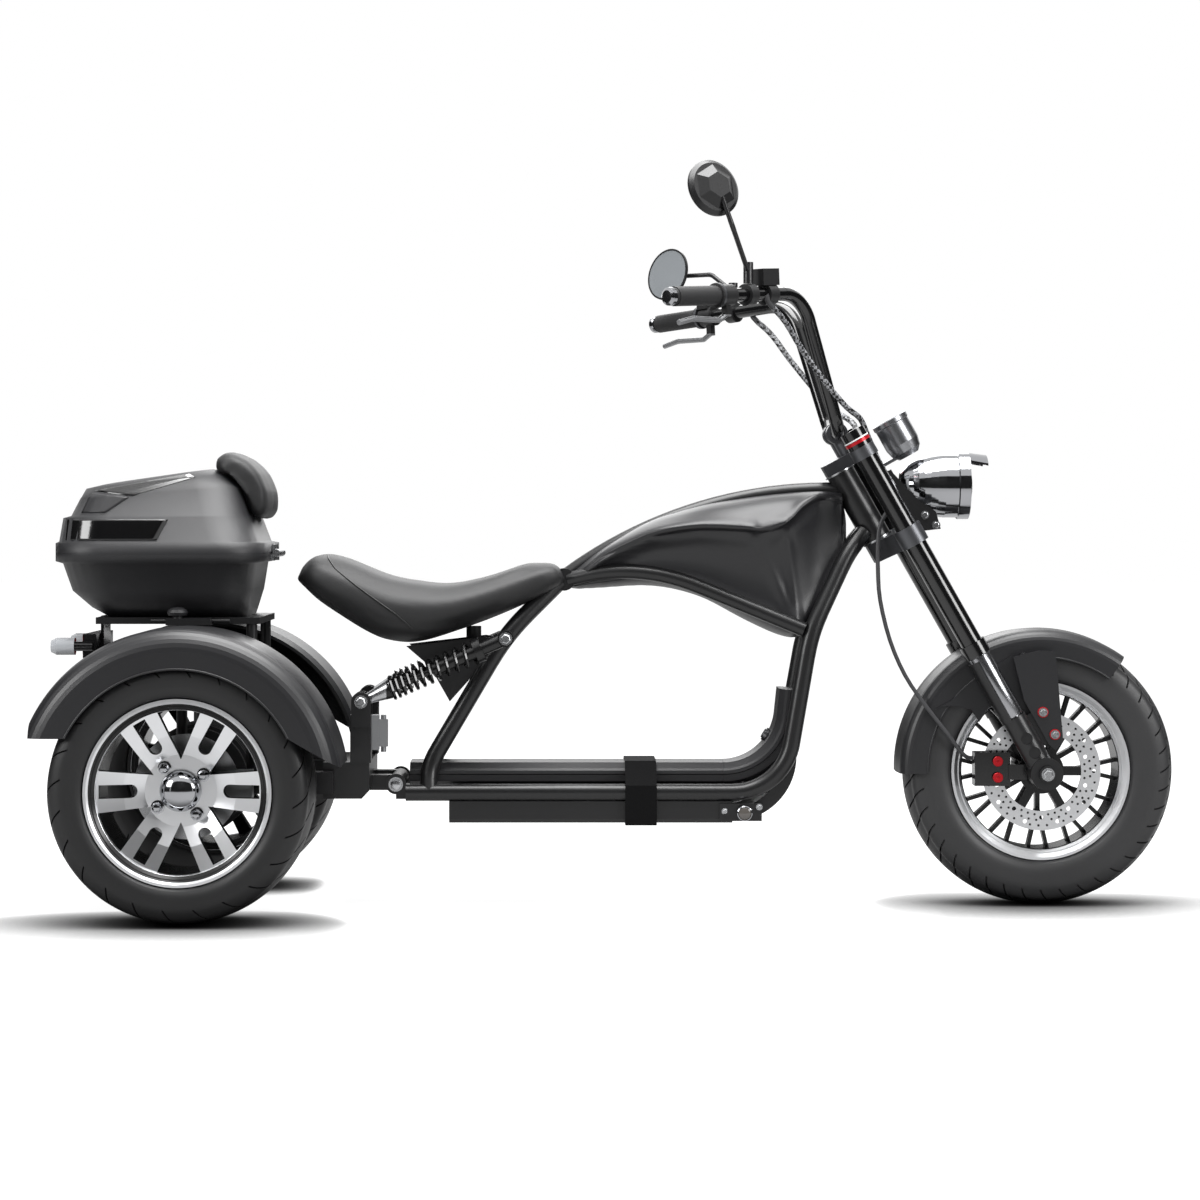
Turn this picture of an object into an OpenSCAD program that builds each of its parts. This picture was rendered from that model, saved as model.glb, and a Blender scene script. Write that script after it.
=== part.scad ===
/* [Wheels] */
// Distance between the front and the rear axle
wheelbase = 1567; // [1480:1:1650]
// Distance between the middle planes of the two rear tyres
track = 574; // [566:1:620]
// Outside diameter of the front tyre
front_tyre_d = 504; // [484:1:516]
// Width of the front tyre
front_tyre_w = 126; // [112:1:128]
// Outside diameter of the rear tyres
rear_tyre_d = 476; // [460:1:490]
// Width of the rear tyres
rear_tyre_w = 200; // [184:1:202]
// Diameter over the rim lips
rim_d = 332; // [324:1:338]
// Distance between the lips of the front rim
front_rim_w = 90; // [82:1:96]
// Distance between the lips of the rear rims
rear_rim_w = 168; // [150:1:174]
// Number of forked spokes in the front wheel
front_spokes = 12; // [8:1:14]
// Number of broad spokes in each rear wheel
rear_spokes = 6; // [5:1:8]
// Gap between the front brake disc and the barrel of its rim
disc_rim_gap = 36; // [28:1:46]
// Diameter of the rear brake discs
rear_disc_d = 190; // [170:1:210]

/* [Steering] */
// Angle of the steering axis from the vertical
rake = 29.5; // [26:0.5:32]
// Distance of the fork legs ahead of the steering axis
fork_offset = 47; // [42:1:54]
// Distance from the middle of the steering head to the axle, along the legs
fork_length = 594.6; // [570:0.1:620]
// Distance between the fork legs
leg_spacing = 208; // [206:1:220]
// Diameter of the upper fork tubes
fork_tube_d = 41; // [36:1:44]
// Diameter of the fork's lower tubes
fork_slider_d = 30; // [26:1:33]
// Length of the head tube
head_tube_l = 140; // [120:1:146]
// Outside diameter of the head tube
head_tube_d = 54; // [48:1:58]
// Diameter of the steering stem
stem_d = 28; // [22:1:32]
// Diameter of the handlebar tube
bar_d = 25; // [22:1:28]
// Diameter of the hand grips
grip_d = 35; // [32:1:38]
// Length of the hand grips
grip_l = 118; // [100:1:126]

/* [Frame] */
// Distance of the rear axle behind the origin
rear_axle_back = 778; // [760:1:800]
// Diameter of the main frame tubes
frame_tube_d = 32; // [28:1:33]
// Diameter of the tubes under the tank
tank_tube_d = 28; // [24:1:32]
// Distance between the two rails of the deck
rail_spacing = 176; // [174:1:190]
// Width of the footboard
deck_w = 124; // [110:1:126]
// Width of the battery case
battery_w = 188; // [170:1:200]
// Height of the battery case
battery_h = 40; // [32:1:48]

/* [Rear] */
// Gap between the rear tyres and the crown of their mudguards
rear_guard_gap = 52; // [48:1:62]
// Wall of the mudguards
guard_wall = 3; // [2:0.5:4]
// Gap between the front tyre and the crown of its mudguard
front_guard_gap = 13; // [12:1:28]
// Wall of the luggage case
case_wall = 4; // [3:0.5:6]
// Diameter of the shock absorber springs
spring_d = 48; // [44:1:52]
// Wire of the shock absorber springs
spring_wire = 7; // [6:0.5:8]

/* [Hidden] */
$fn = 48;

// Fits between turning and fixed pieces
run_clear = 0.1;
seat_gap = 0.3;

// Colours of the finishes
matte_black = "#232325";
gloss_black = "#151517";
rubber = "#1e1e1f";
chrome = "#d9dadc";
steel = "#a9abae";
grey = "#6d6e70";
glass = "#e6edf2";
red = "#b0101c";

// Places worked out from the driving sizes
rear_x = -rear_axle_back;
rear_z = rear_tyre_d / 2;
front_x = rear_x + wheelbase;
front_z = front_tyre_d / 2;
head_x = front_x - fork_offset * cos(rake) - fork_length * sin(rake);
head_z = front_z - fork_offset * sin(rake) + fork_length * cos(rake);
leg_y = leg_spacing / 2;
rail_y = rail_spacing / 2;
rim_r = rim_d / 2;
seat_depth = 14;
lip_t = 5;
barrel_t = 6;
barrel_in = rim_r - seat_depth - barrel_t;
front_disc_d = 2 * (barrel_in - disc_rim_gap);
rear_guard_r = rear_z + rear_guard_gap;
front_guard_r = front_z + front_guard_gap;

// The frame stands on the rear axle; its tables are measured from this point near the steering head
frame_x = rear_x + 1233.3;
frame_z = rear_z + 508.4;
// Front corner of the deck, at its distance behind the front axle, and how far that moves it in the tables
corner_home = -148;
corner_x = front_x - 481.7 - frame_x;
deck_stretch = corner_x - corner_home;
// How far the fork carries the steering head away from its place above the corner
head_shift = [head_x - frame_x - deck_stretch, head_z - frame_z];

// Frames of reference: the two axles, the frame, the steering head, and the turned steering axis
module at_rear() translate([rear_x, 0, rear_z]) children();
module at_front() translate([front_x, 0, front_z]) children();
module at_frame() translate([frame_x, 0, frame_z]) children();
module at_head() translate([head_x, 0, head_z]) children();
module steer() at_head() rotate([0, -rake, 0]) children();
module both_sides() {
    children();
    mirror([0, 1, 0]) children();
}
// Turns a solid made about Z so that its +Z points to the given side
module facing(side) rotate([-90 * side, 0, 0]) children();

function unit(v) = v / norm(v);
function quad(a, b, c, n) = [
    for (i = [0:n - 1]) let (t = i / n) a * (1 - t) * (1 - t) + b * 2 * t * (1 - t) + c * t * t
];
function arc(c, r, a0, a1, n) = [
    for (i = [0:n]) let (a = a0 + (a1 - a0) * i / n) c + r * [cos(a), sin(a)]
];
function curve_mix(a, b, c, d, t) =
    (2 * b + (c - a) * t + (2 * a - 5 * b + 4 * c - d) * t * t + (3 * b - a - 3 * c + d) * t * t * t) / 2;
// Rows between the given rows, on a smooth curve
function smooth_rows(rows, steps) = let (last = len(rows) - 1) concat(
    [for (i = [0:last - 1]) for (s = [0:steps - 1])
        curve_mix(rows[max(i - 1, 0)], rows[i], rows[i + 1], rows[min(i + 2, last)], s / steps)],
    [rows[last]]
);
// Signed power, for rounded sections
function bulge(v, p) = sign(v) * pow(abs(v), p);

// Straight rod between two points
module rod(a, b, d) {
    v = b - a;
    translate(a) rotate([0, acos(v[2] / norm(v)), atan2(v[1], v[0])]) cylinder(h = norm(v), d = d);
}
// One bend of a tube round the corner between two directions
module tube_bend(corner, d1, d2, r, cut, d) {
    side = unit(d2 - d1 * (d1 * d2));
    c = corner - d1 * cut + side * r;
    n = cross(-side, d1);
    multmatrix([
        [-side[0], d1[0], n[0], c[0]],
        [-side[1], d1[1], n[1], c[1]],
        [-side[2], d1[2], n[2], c[2]],
        [0, 0, 0, 1]
    ]) rotate_extrude(angle = acos(d1 * d2)) translate([r, 0]) circle(d = d + bend_swell);
}
// Bent tube through corners, each row x, y, z, bend radius; the straight runs lap into the swelled bends
bend_swell = 0.4;
bend_lap = 1.5;
module tube(rows, d) {
    last = len(rows) - 1;
    pts = [for (r = rows) [r[0], r[1], r[2]]];
    dirs = [for (i = [0:last - 1]) unit(pts[i + 1] - pts[i])];
    cuts = [for (i = [0:last])
        i == 0 || i == last ? 0 : rows[i][3] * tan(acos(dirs[i - 1] * dirs[i]) / 2)];
    for (i = [0:last - 1]) rod(
        pts[i] + dirs[i] * (i == 0 ? 0 : cuts[i] - bend_lap),
        pts[i + 1] - dirs[i] * (i == last - 1 ? 0 : cuts[i + 1] - bend_lap), d);
    for (i = [1:last - 1]) tube_bend(pts[i], dirs[i - 1], dirs[i], rows[i][3], cuts[i], d);
}
// Closed skin over rings of equal point counts
module loft(rings) {
    n = len(rings[0]);
    m = len(rings);
    polyhedron(
        points = [for (r = rings) each r],
        faces = concat(
            [[for (i = [0:n - 1]) i]],
            [for (j = [0:m - 2]) for (i = [0:n - 1])
                [j * n + i, (j + 1) * n + i, (j + 1) * n + (i + 1) % n, j * n + (i + 1) % n]],
            [[for (i = [n - 1:-1:0]) (m - 1) * n + i]]
        ),
        convexity = 8
    );
}
// Hose or cable of the given diameter along points
hose_sides = 8;
module hose(points, d) {
    last = len(points) - 1;
    loft([for (i = [0:last])
        let (
            v = unit(points[min(i + 1, last)] - points[max(i - 1, 0)]),
            a = unit(cross(v, [0.31, 0.9, 0.3])),
            b = cross(v, a)
        )
        [for (k = [0:hose_sides - 1]) points[i]
            + (a * cos(360 * k / hose_sides) + b * sin(360 * k / hose_sides)) * d / 2]]);
}

// Main frame: rows x, side, z, bend radius, share of the head's shift, share of the deck's stretch
deck_drop = 531;
seat_foot_x = -803;
spine_bend = 820 + 2.2 * deck_stretch;
belly_bend = 340 + 1.15 * deck_stretch;
deck_rail_z = frame_z - deck_drop;
rail_end_x = rear_x + 388;
function led(rows) = [for (r = rows)
    [r[0] + r[4] * head_shift[0] + r[5] * deck_stretch, r[1], r[2] + r[4] * head_shift[1], r[3]]];
down_tube = led([
    [rail_end_x - frame_x, rail_y, -deck_drop, 0, 0, 0],
    [corner_home, rail_y, -deck_drop, 110, 0, 1],
    [-96, 74, -237, 260, 0.5, 1],
    [-26, 40, -92, 200, 1, 1],
    [8, 20, -50, 0, 1, 1]
]);
seat_tube = [
    [seat_foot_x, rail_y, -deck_drop, 0],
    [seat_foot_x, 70, -483, 90],
    [-661, 58, -242, 300],
    [-562, 15, -144, 0]
];
spine_tube = led([
    [-560, 0, -142, 0, 0, 0],
    [-319, 0, 27, spine_bend, 0.5, 0.5],
    [-26, 0, 27, 0, 1, 1]
]);
belly_tube = led([
    [-544, 16, -139, 0, 0, 0],
    [-411, 56, -107, belly_bend, 0.15, 0.3],
    [-108, 76, -231, 0, 0.5, 1]
]);
// Barrel that joins the seat, spine and belly tubes
knot = [-553, -139];
knot_r = 21;
knot_l = 54;
cross_tube_d = 24;
cross_tube_x = [-730, (corner_x - 804) / 2, corner_x - 74];
pivot_x = 370;
pivot_z = -7;
pivot_d = 16;
lug_r = 19;
lug_t = 10;

module frame_tubes() color(matte_black) difference() {
    union() {
        tube_set();
        both_sides() pivot_lug();
        steer() translate([0, 0, -head_tube_l / 2]) cylinder(h = head_tube_l, d = head_tube_d);
    }
    steer() translate([0, 0, -head_tube_l]) cylinder(h = 2 * head_tube_l, d = stem_d + 2 * run_clear);
}
module tube_set() at_frame() {
    both_sides() {
        tube(down_tube, frame_tube_d);
        tube(seat_tube, frame_tube_d);
        tube(belly_tube, tank_tube_d);
    }
    tube(spine_tube, frame_tube_d);
    translate([knot[0], 0, knot[1]]) rotate([90, 0, 0]) cylinder(h = knot_l, r = knot_r, center = true);
    for (x = cross_tube_x)
        translate([x, rail_y, -deck_drop]) rotate([90, 0, 0]) cylinder(h = 2 * rail_y, d = cross_tube_d);
}
// Lug at the end of a deck rail, bored for the swing arm's bolt
module pivot_lug() difference() {
    union() {
        at_rear() translate([pivot_x, rail_y - lug_t / 2, pivot_z])
            rotate([-90, 0, 0]) cylinder(h = lug_t, r = lug_r);
        translate([rear_x + pivot_x, rail_y - lug_t / 2, deck_rail_z - 12]) cube([30, lug_t, 24]);
    }
    at_rear() translate([pivot_x, 0, pivot_z])
        rotate([-90, 0, 0]) cylinder(h = rail_y + lug_t, d = pivot_d + 2 * run_clear);
}

// Tank panels: rows x, top z, shoulder half width and z, bottom half width and z, share of the shift
tank_rows = [
    [-536, -126, 22, -136, 22, -152, 0],
    [-481, -84, 52, -94, 40, -143, 0],
    [-401, -36, 86, -54, 58, -134, 0],
    [-340, -14, 102, -38, 66, -140, 0.1],
    [-280, 2, 109, -34, 70, -158, 0.2],
    [-220, 12, 109, -37, 72, -190, 0.3],
    [-171, 19, 103, -39, 72, -214, 0.4],
    [-136, 22, 93, -20, 70, -228, 0.5],
    [-111, 23, 79, 5, 66, -228, 0.6],
    [-81, 23, 58, 19, 50, -190, 0.75],
    [-51, 22, 44, 18, 40, -132, 0.9],
    [-34, 20, 36, 14, 34, -96, 1]
];
tank_rear = tank_rows[0][0];
tank_l = tank_rows[len(tank_rows) - 1][0] - tank_rear;
function tank_led(r) =
    let (x = r[6] * head_shift[0] + (r[0] - tank_rear) / tank_l * deck_stretch, z = r[6] * head_shift[1])
    [r[0] + x, r[1] + z, r[2], r[3] + z, r[4], r[5] + z];
tank_top_arch = 7;
tank_side_hollow = 16;
function tank_side(r) = concat(
    quad([0, r[1]], [r[2] * 0.6, r[1] + tank_top_arch], [r[2], r[3]], 5),
    [[r[2], r[3]], [r[2] + 1, r[3] - 8]],
    quad([r[2] - 5, r[3] - 13], [r[4] - tank_side_hollow, (r[3] + r[5]) / 2], [r[4], r[5]], 5),
    [[r[4], r[5]]]
);
function tank_ring(r) = let (s = tank_side(r), n = len(s)) concat(
    [for (p = s) [r[0], -p[0], p[1]]],
    [for (i = [n - 1:-1:1]) [r[0], s[i][0], s[i][1]]]
);
module body_shell() color(matte_black)
    at_frame() loft([for (r = smooth_rows(tank_rows, 3)) tank_ring(tank_led(r))]);

// Deck cover: section across the deck, measured down from its top
cover_edge = deck_w / 2;
cover_section = [
    [0, 1], [cover_edge - 18, 0], [cover_edge - 4, -10], [cover_edge, -14], [cover_edge, -20],
    [cover_edge - 3, -22], [cover_edge - 3, -34], [cover_edge - 12, -39.7], [0, -39.7]
];
cover_top_z = -479;
cover_rear_x = rear_x + 394 - frame_x;
cover_front_x = corner_x - 108;
cover_bend_r = 100;
cover_rise = 48;
guard_angle = 84;
module cover_profile() polygon(concat(cover_section,
    [for (i = [len(cover_section) - 2:-1:1]) [-cover_section[i][0], cover_section[i][1]]]));
module footboard() color(matte_black) at_frame() difference() {
    translate([cover_rear_x, 0, cover_top_z]) rotate([90, 0, 90])
        linear_extrude(cover_front_x - cover_rear_x - seat_gap) cover_profile();
    both_sides() tube(seat_tube, frame_tube_d + 2 * seat_gap);
}
module leg_guard() color(matte_black) at_frame() translate([cover_front_x, 0, cover_top_z + cover_bend_r]) {
    rotate([90, 0, 0]) rotate([0, 0, -90]) rotate_extrude(angle = guard_angle)
        translate([cover_bend_r, 0]) rotate(90) cover_profile();
    rotate([0, -guard_angle, 0]) translate([0, 0, -cover_bend_r]) rotate([90, 0, 90])
        linear_extrude(cover_rise) cover_profile();
}

// Battery case under the rails, with its curved nose between the tubes
battery_top_z = deck_rail_z - frame_tube_d / 2 - seat_gap;
battery_rear_x = rear_x + 468;
battery_front_x = frame_x + corner_x - 94;
nose_r = 121;
nose_t = 25;
nose_angle = 88;
module battery_case() color(matte_black) {
    difference() {
        translate([battery_rear_x, -battery_w / 2, battery_top_z - battery_h])
            cube([battery_front_x - battery_rear_x, battery_w, battery_h]);
        for (s = [-1, 1])
            translate([battery_rear_x - 1, s * battery_w / 2, battery_top_z - battery_h])
                rotate([45, 0, 0]) translate([0, -5, -5])
                    cube([battery_front_x - battery_rear_x + 2, 10, 10]);
    }
    translate([battery_front_x, 0, battery_top_z - battery_h + nose_r]) rotate([90, 0, 0])
        translate([0, 0, 2 - cover_edge]) rotate([0, 0, -90]) rotate_extrude(angle = nose_angle)
            translate([nose_r - nose_t, 0]) square([nose_t, deck_w - 4]);
    translate([battery_front_x - 30, -cover_edge + 4, battery_top_z - seat_gap])
        cube([24, deck_w - 8, deck_rail_z - cross_tube_d / 2 - battery_top_z]);
}
// Elastic band round the deck
strap_x = (seat_foot_x + corner_x + 71) / 2;
strap_w = 58;
strap_t = 3;
module battery_strap() color(rubber) {
    top = frame_z + cover_top_z + 1 + seat_gap;
    low = battery_top_z - battery_h - seat_gap - strap_t;
    half = max(battery_w / 2, rail_y + frame_tube_d / 2) + seat_gap;
    translate([frame_x + strap_x, 0, 0]) rotate([90, 0, 90]) linear_extrude(strap_w) difference() {
        polygon([[-half - strap_t, low], [half + strap_t, low], [half + strap_t, deck_rail_z + 14],
            [cover_edge, top + strap_t], [-cover_edge, top + strap_t], [-half - strap_t, deck_rail_z + 14]]);
        polygon([[-half, low + strap_t], [half, low + strap_t], [half, deck_rail_z + 13],
            [cover_edge - 1, top], [-cover_edge + 1, top], [-half, deck_rail_z + 13]]);
    }
}
// Marker lamp with its bracket on each side of the case
lamp_x = corner_x - 118;
module side_lamps() color(glass) both_sides()
    translate([frame_x + lamp_x, battery_w / 2 + seat_gap, battery_top_z - battery_h + 4]) {
        cube([78, 4, 32]);
        translate([46, 4, 15]) rotate([-90, 0, 0]) {
            cylinder(h = 10, r = 12);
            translate([-12, -12, 0]) cube([14, 24, 8]);
        }
        translate([13, 4, 15]) rotate([-90, 0, 0]) cylinder(h = 3, r = 6);
    }
module charge_socket() color(grey) at_frame()
    translate([cover_front_x, 0, cover_top_z + cover_bend_r]) rotate([0, -58, 0])
        translate([0, 0, -cover_bend_r]) {
            translate([0, 0, 2.2]) cylinder(h = 5, r = 13);
            translate([0, 0, 6]) cylinder(h = 4, r = 9);
        }

// Seat: rows x, bottom z, top z, half width
seat_rows = [
    [-1053, -138, -126, 55],
    [-1036, -152, -107, 96],
    [-1010, -176, -87, 120],
    [-961, -209, -98, 139],
    [-913, -238, -119, 147],
    [-870, -253, -135, 149],
    [-820, -252, -144, 146],
    [-761, -235, -148, 136],
    [-683, -207, -131, 113],
    [-607, -174, -103, 88],
    [-572, -156, -102, 74],
    [-556, -146, -116, 60]
];
seat_points = 20;
module seat_cushion() color(gloss_black) at_frame() loft([for (r = smooth_rows(seat_rows, 2))
    [for (k = [0:seat_points - 1]) let (a = 360 * k / seat_points)
        [r[0], r[3] * bulge(cos(a), 0.7), (r[1] + r[2]) / 2 + (r[2] - r[1]) / 2 * bulge(sin(a), 0.8)]]]);
// Seat carrier: gussets on the seat tubes, a cross plate and a post
gusset_y = 60;
gusset_t = 6;
gusset = [[-765, -365], [-802, -300], [-846, -262], [-700, -245], [-664, -252]];
module seat_bracket() color(matte_black) at_frame() {
    both_sides() translate([0, gusset_y, 0]) rotate([90, 0, 0])
        linear_extrude(gusset_t) polygon(gusset);
    translate([-815, -gusset_y, -268]) cube([110, 2 * gusset_y, 6]);
    translate([-722, 0, -268]) cylinder(h = 41.4, r = 14);
}

// Shock absorbers between the seat tubes and the swing arm's posts
shock_y = 112;
shock_top = [frame_x - 660, shock_y, frame_z - 246];
post_x = 308;
post_z = 147;
shock_foot = [rear_x + post_x, shock_y, rear_z + post_z];
shock_dir = unit(shock_top - shock_foot);
shock_l = norm(shock_top - shock_foot);
shock_eye_r = 15;
spring_foot = 56;
spring_top = 62;
module along_shock(t) translate(shock_foot + shock_dir * t)
    rotate([0, 90 - asin(shock_dir[2]), 0]) children();
module shock_dampers() color(grey) both_sides() {
    for (p = [shock_foot, shock_top])
        translate(p - [0, 16, 0]) rotate([-90, 0, 0]) cylinder(h = 32, r = shock_eye_r);
    translate(shock_top - [0, 37, 0]) rotate([-90, 0, 0]) cylinder(h = 37, r = 8);
    along_shock(0) {
        cylinder(h = shock_l, r = 6);
        translate([0, 0, 10]) cylinder(h = spring_foot - 10, r1 = 9, r2 = spring_d / 2 - 6);
        translate([0, 0, shock_l - spring_top]) cylinder(h = 14, r = spring_d / 2 - 1);
        translate([0, 0, shock_l / 2]) cylinder(h = shock_l / 2 - 12, r = 13);
    }
}
// Coil springs: close turns at the foot, open turns at the top
spring_turns = 11;
spring_steps = 14;
spring_ends = 6;
module shock_springs() color(gloss_black) both_sides() {
    h = shock_l - spring_foot - spring_top - spring_wire;
    r = (spring_d - spring_wire) / 2;
    count = spring_turns * spring_steps;
    along_shock(spring_foot + spring_wire / 2) loft([for (i = [0:count])
        let (t = i / count, a = 360 * i / spring_steps, z = h * (0.62 * t + 0.38 * t * t))
        [for (k = [0:spring_ends - 1]) let (b = -360 * k / spring_ends)
            [(r + spring_wire / 2 * cos(b)) * cos(a), (r + spring_wire / 2 * cos(b)) * sin(a),
                z + spring_wire / 2 * sin(b)]]]);
}

// Swing arm: cross beam, posts for the shocks, arms to the pivot and to the axle
beam_x = 238;
beam_l = 85;
beam_y = 130;
beam_top = 36;
beam_foot = -31;
arm_y = 140;
arm_half = 15;
post_w = 38;
ear_out = 20;
ear_t = 6;
ear_r = 18;
module swing_arm() color(matte_black) {
    at_rear() {
        translate([0, beam_y, 0]) rotate([90, 0, 0]) linear_extrude(2 * beam_y) polygon([
            [beam_x, beam_foot], [beam_x + beam_l - 14, beam_foot], [beam_x + beam_l, beam_foot + 15],
            [beam_x + beam_l, beam_top], [beam_x, beam_top]]);
        for (s = [-1, 1]) {
            translate([post_x - 20, s * shock_y - ear_out, beam_top - 1])
                cube([post_w, 2 * ear_out, post_z - ear_r - beam_top - 5]);
            for (e = [-1, 1]) translate([post_x, s * shock_y + e * ear_out - ear_t / 2, post_z]) {
                rotate([-90, 0, 0]) cylinder(h = ear_t, r = ear_r);
                translate([-ear_r, 0, -47]) cube([2 * ear_r, ear_t, 47]);
            }
            translate([0, s * arm_y - arm_half, -20]) cube([beam_x + 20, 2 * arm_half, 40]);
            translate([beam_x + beam_l - 4, s * 58 - 14, -20]) cube([pivot_x - beam_x - beam_l, 28, 28]);
        }
        translate([pivot_x, rail_y - lug_t / 2 - 0.5, pivot_z]) rotate([90, 0, 0])
            cylinder(h = rail_spacing - lug_t - 1, r = 16);
        translate([pivot_x, rail_y + lug_t, pivot_z]) rotate([90, 0, 0])
            cylinder(h = rail_spacing + 2 * lug_t, d = pivot_d);
    }
}
// Axle tube with the geared motor in its middle and the stubs that carry the wheels
stub_d = 30;
axle_tube_d = 62;
motor_d = 190;
motor_w = 170;
hub_in = -62;
stub_end = track / 2 + 18;
axle_in = arm_y - arm_half - seat_gap;
axle_out = arm_y + arm_half + seat_gap;
collar_l = 20;
stub_start = arm_y + 30;
module drive_axle() color(grey) at_rear() rotate([90, 0, 0]) {
    difference() {
        translate([0, 0, -axle_in]) cylinder(h = 2 * axle_in, d = axle_tube_d);
        translate([0, 0, -motor_w]) cylinder(h = 2 * motor_w, d = 20);
    }
    translate([0, 0, -motor_w / 2]) cylinder(h = motor_w, d = motor_d);
    for (i = [-3:3]) translate([0, 0, i * 22 - 3]) cylinder(h = 6, d = motor_d + 14);
    for (s = [-1, 1]) {
        translate([0, 0, s > 0 ? axle_out : -axle_out - collar_l]) cylinder(h = collar_l, d = axle_tube_d);
        translate([0, 0, s > 0 ? stub_start : -stub_end]) cylinder(h = stub_end - stub_start, d = stub_d);
    }
}
// Disc calipers on the axle, inside the wheels, and the parking caliper behind a post
disc_y = track / 2 + hub_in + 4;
caliper_l = 60;
module rear_calipers() color(steel) at_rear() {
    both_sides() {
        difference() {
            translate([52, disc_y - 20, -caliper_l / 2])
                cube([rear_disc_d / 2 - 28, 40, caliper_l]);
            translate([0, disc_y - 5, 0]) rotate([-90, 0, 0]) cylinder(h = 10, r = rear_disc_d / 2 + 6);
        }
        translate([axle_tube_d / 2 + seat_gap, axle_out, -14])
            cube([30, disc_y - 20 - arm_y - arm_half, 28]);
    }
    translate([post_x + ear_r + seat_gap, -shock_y - 10, 58]) {
        cube([14, 20, 64]);
        translate([14, 4, 6]) cube([16, 12, 50]);
        translate([22, 10, -4]) cylinder(h = 68, r = 5);
    }
}

// Rear mudguards: rolled crown, round shoulder and side skirt, cut along the wheel opening
guard_inner = -107;
guard_outer = 108;
guard_shoulder = 40;
guard_opening_r = rear_z - 20;
guard_ends = [[-262, 97], [-150, 97], [0, 40], [180, 106], [340, 14], [340, 340], [-262, 340]];
module guard_section(r, inset) {
    polygon(concat(
        [[guard_opening_r - 20, guard_outer - inset]],
        arc([r - guard_shoulder, guard_outer - guard_shoulder], guard_shoulder - inset, 90, 0, 8),
        [[r - inset, guard_inner + 10], [r - inset - 8, guard_inner + inset]],
        [[guard_opening_r - 20, guard_inner + inset]]
    ));
}
module rear_fender(side) color(matte_black) at_rear() translate([0, side * track / 2, 0]) facing(side)
    intersection() {
        difference() {
            rotate_extrude() guard_section(rear_guard_r, 0);
            rotate_extrude() guard_section(rear_guard_r, guard_wall);
            translate([0, 0, -200]) cylinder(h = 400, r = guard_opening_r);
            translate([0, 0, guard_inner - 1]) cylinder(h = guard_wall + 2, r = rear_guard_r - 14);
        }
        translate([0, 0, -200]) linear_extrude(400)
            polygon([for (p = guard_ends) [p[0], -side * p[1]]]);
    }
module rear_fender_left() rear_fender(1);
module rear_fender_right() rear_fender(-1);

// Rack: struts from the axle arms, a bar on the mudguards and a plate for the case
rack_z = rear_guard_r + seat_gap;
rack_bar_t = 12;
rack_mid_z = rack_z + rack_bar_t / 2;
rack_strut_d = 20;
rack_plate_y = 150;
rack_strut_y = 136;
rack_loop_y = 172;
rack_struts = [-20, 108];
rack_rear_x = -176;
rack_l = 300;
module rear_rack() color(matte_black) at_rear() {
    translate([-40, -track / 2 + 70, rack_z]) cube([80, track - 140, rack_bar_t]);
    translate([rack_rear_x, -rack_plate_y, rack_z]) cube([rack_l, 2 * rack_plate_y, rack_bar_t]);
    both_sides() {
        for (x = rack_struts) translate([x, rack_strut_y, 20 + seat_gap])
            cylinder(h = rack_mid_z - 20 - seat_gap, d = rack_strut_d);
        for (x = [-60, 60]) translate([x, rack_plate_y - 8, rack_mid_z])
            rotate([-90, 0, 0]) cylinder(h = rack_loop_y - rack_plate_y + 8, d = 6);
        translate([-72, rack_loop_y, rack_mid_z]) rotate([0, 90, 0]) cylinder(h = 144, d = 9);
    }
}
// Tail lamp on its bracket below the rack's rear edge
indicator_y = 118;
tail_x = -206;
tail_plate_t = 6;
tail_plate_w = 88;
tail_foot = rack_z - 80;
tail_h = 44;
stalk_r = 9;
tail_half = indicator_y - stalk_r - seat_gap;
module tail_lamp() color(red) at_rear() {
    translate([rack_rear_x - tail_plate_t, -tail_plate_w / 2, tail_foot])
        cube([tail_plate_t - seat_gap, tail_plate_w, rack_z + rack_bar_t - tail_foot]);
    translate([tail_x, -tail_half, tail_foot + 16])
        cube([rack_rear_x - tail_plate_t - tail_x + 1, 2 * tail_half, tail_h]);
    translate([tail_x - 8, -58, tail_foot + 22]) cube([8, 116, 32]);
}
indicator_z = rack_z - 42;
indicator_tip = -262;
lens_l = 44;
module rear_indicators() color(glass) at_rear() both_sides()
    translate([indicator_tip, indicator_y, indicator_z]) rotate([0, 90, 0]) {
        cylinder(h = 10, r1 = 11, r2 = 16);
        translate([0, 0, 10]) cylinder(h = lens_l - 10, r = 16);
        translate([0, 0, lens_l]) cylinder(h = tail_x + 20 - indicator_tip - lens_l, r = stalk_r);
    }

// Luggage case: rows z, rear x, front x, half width, corner radius
case_rows = [
    [rack_z + rack_bar_t + seat_gap, -163, 96, 130, 60],
    [320, -191, 100, 160, 70],
    [351, -224, 108, 184, 76],
    [401, -240, 115, 200, 82],
    [405, -253, 135, 209, 86],
    [419, -253, 135, 209, 86]
];
corner_steps = 6;
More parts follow.
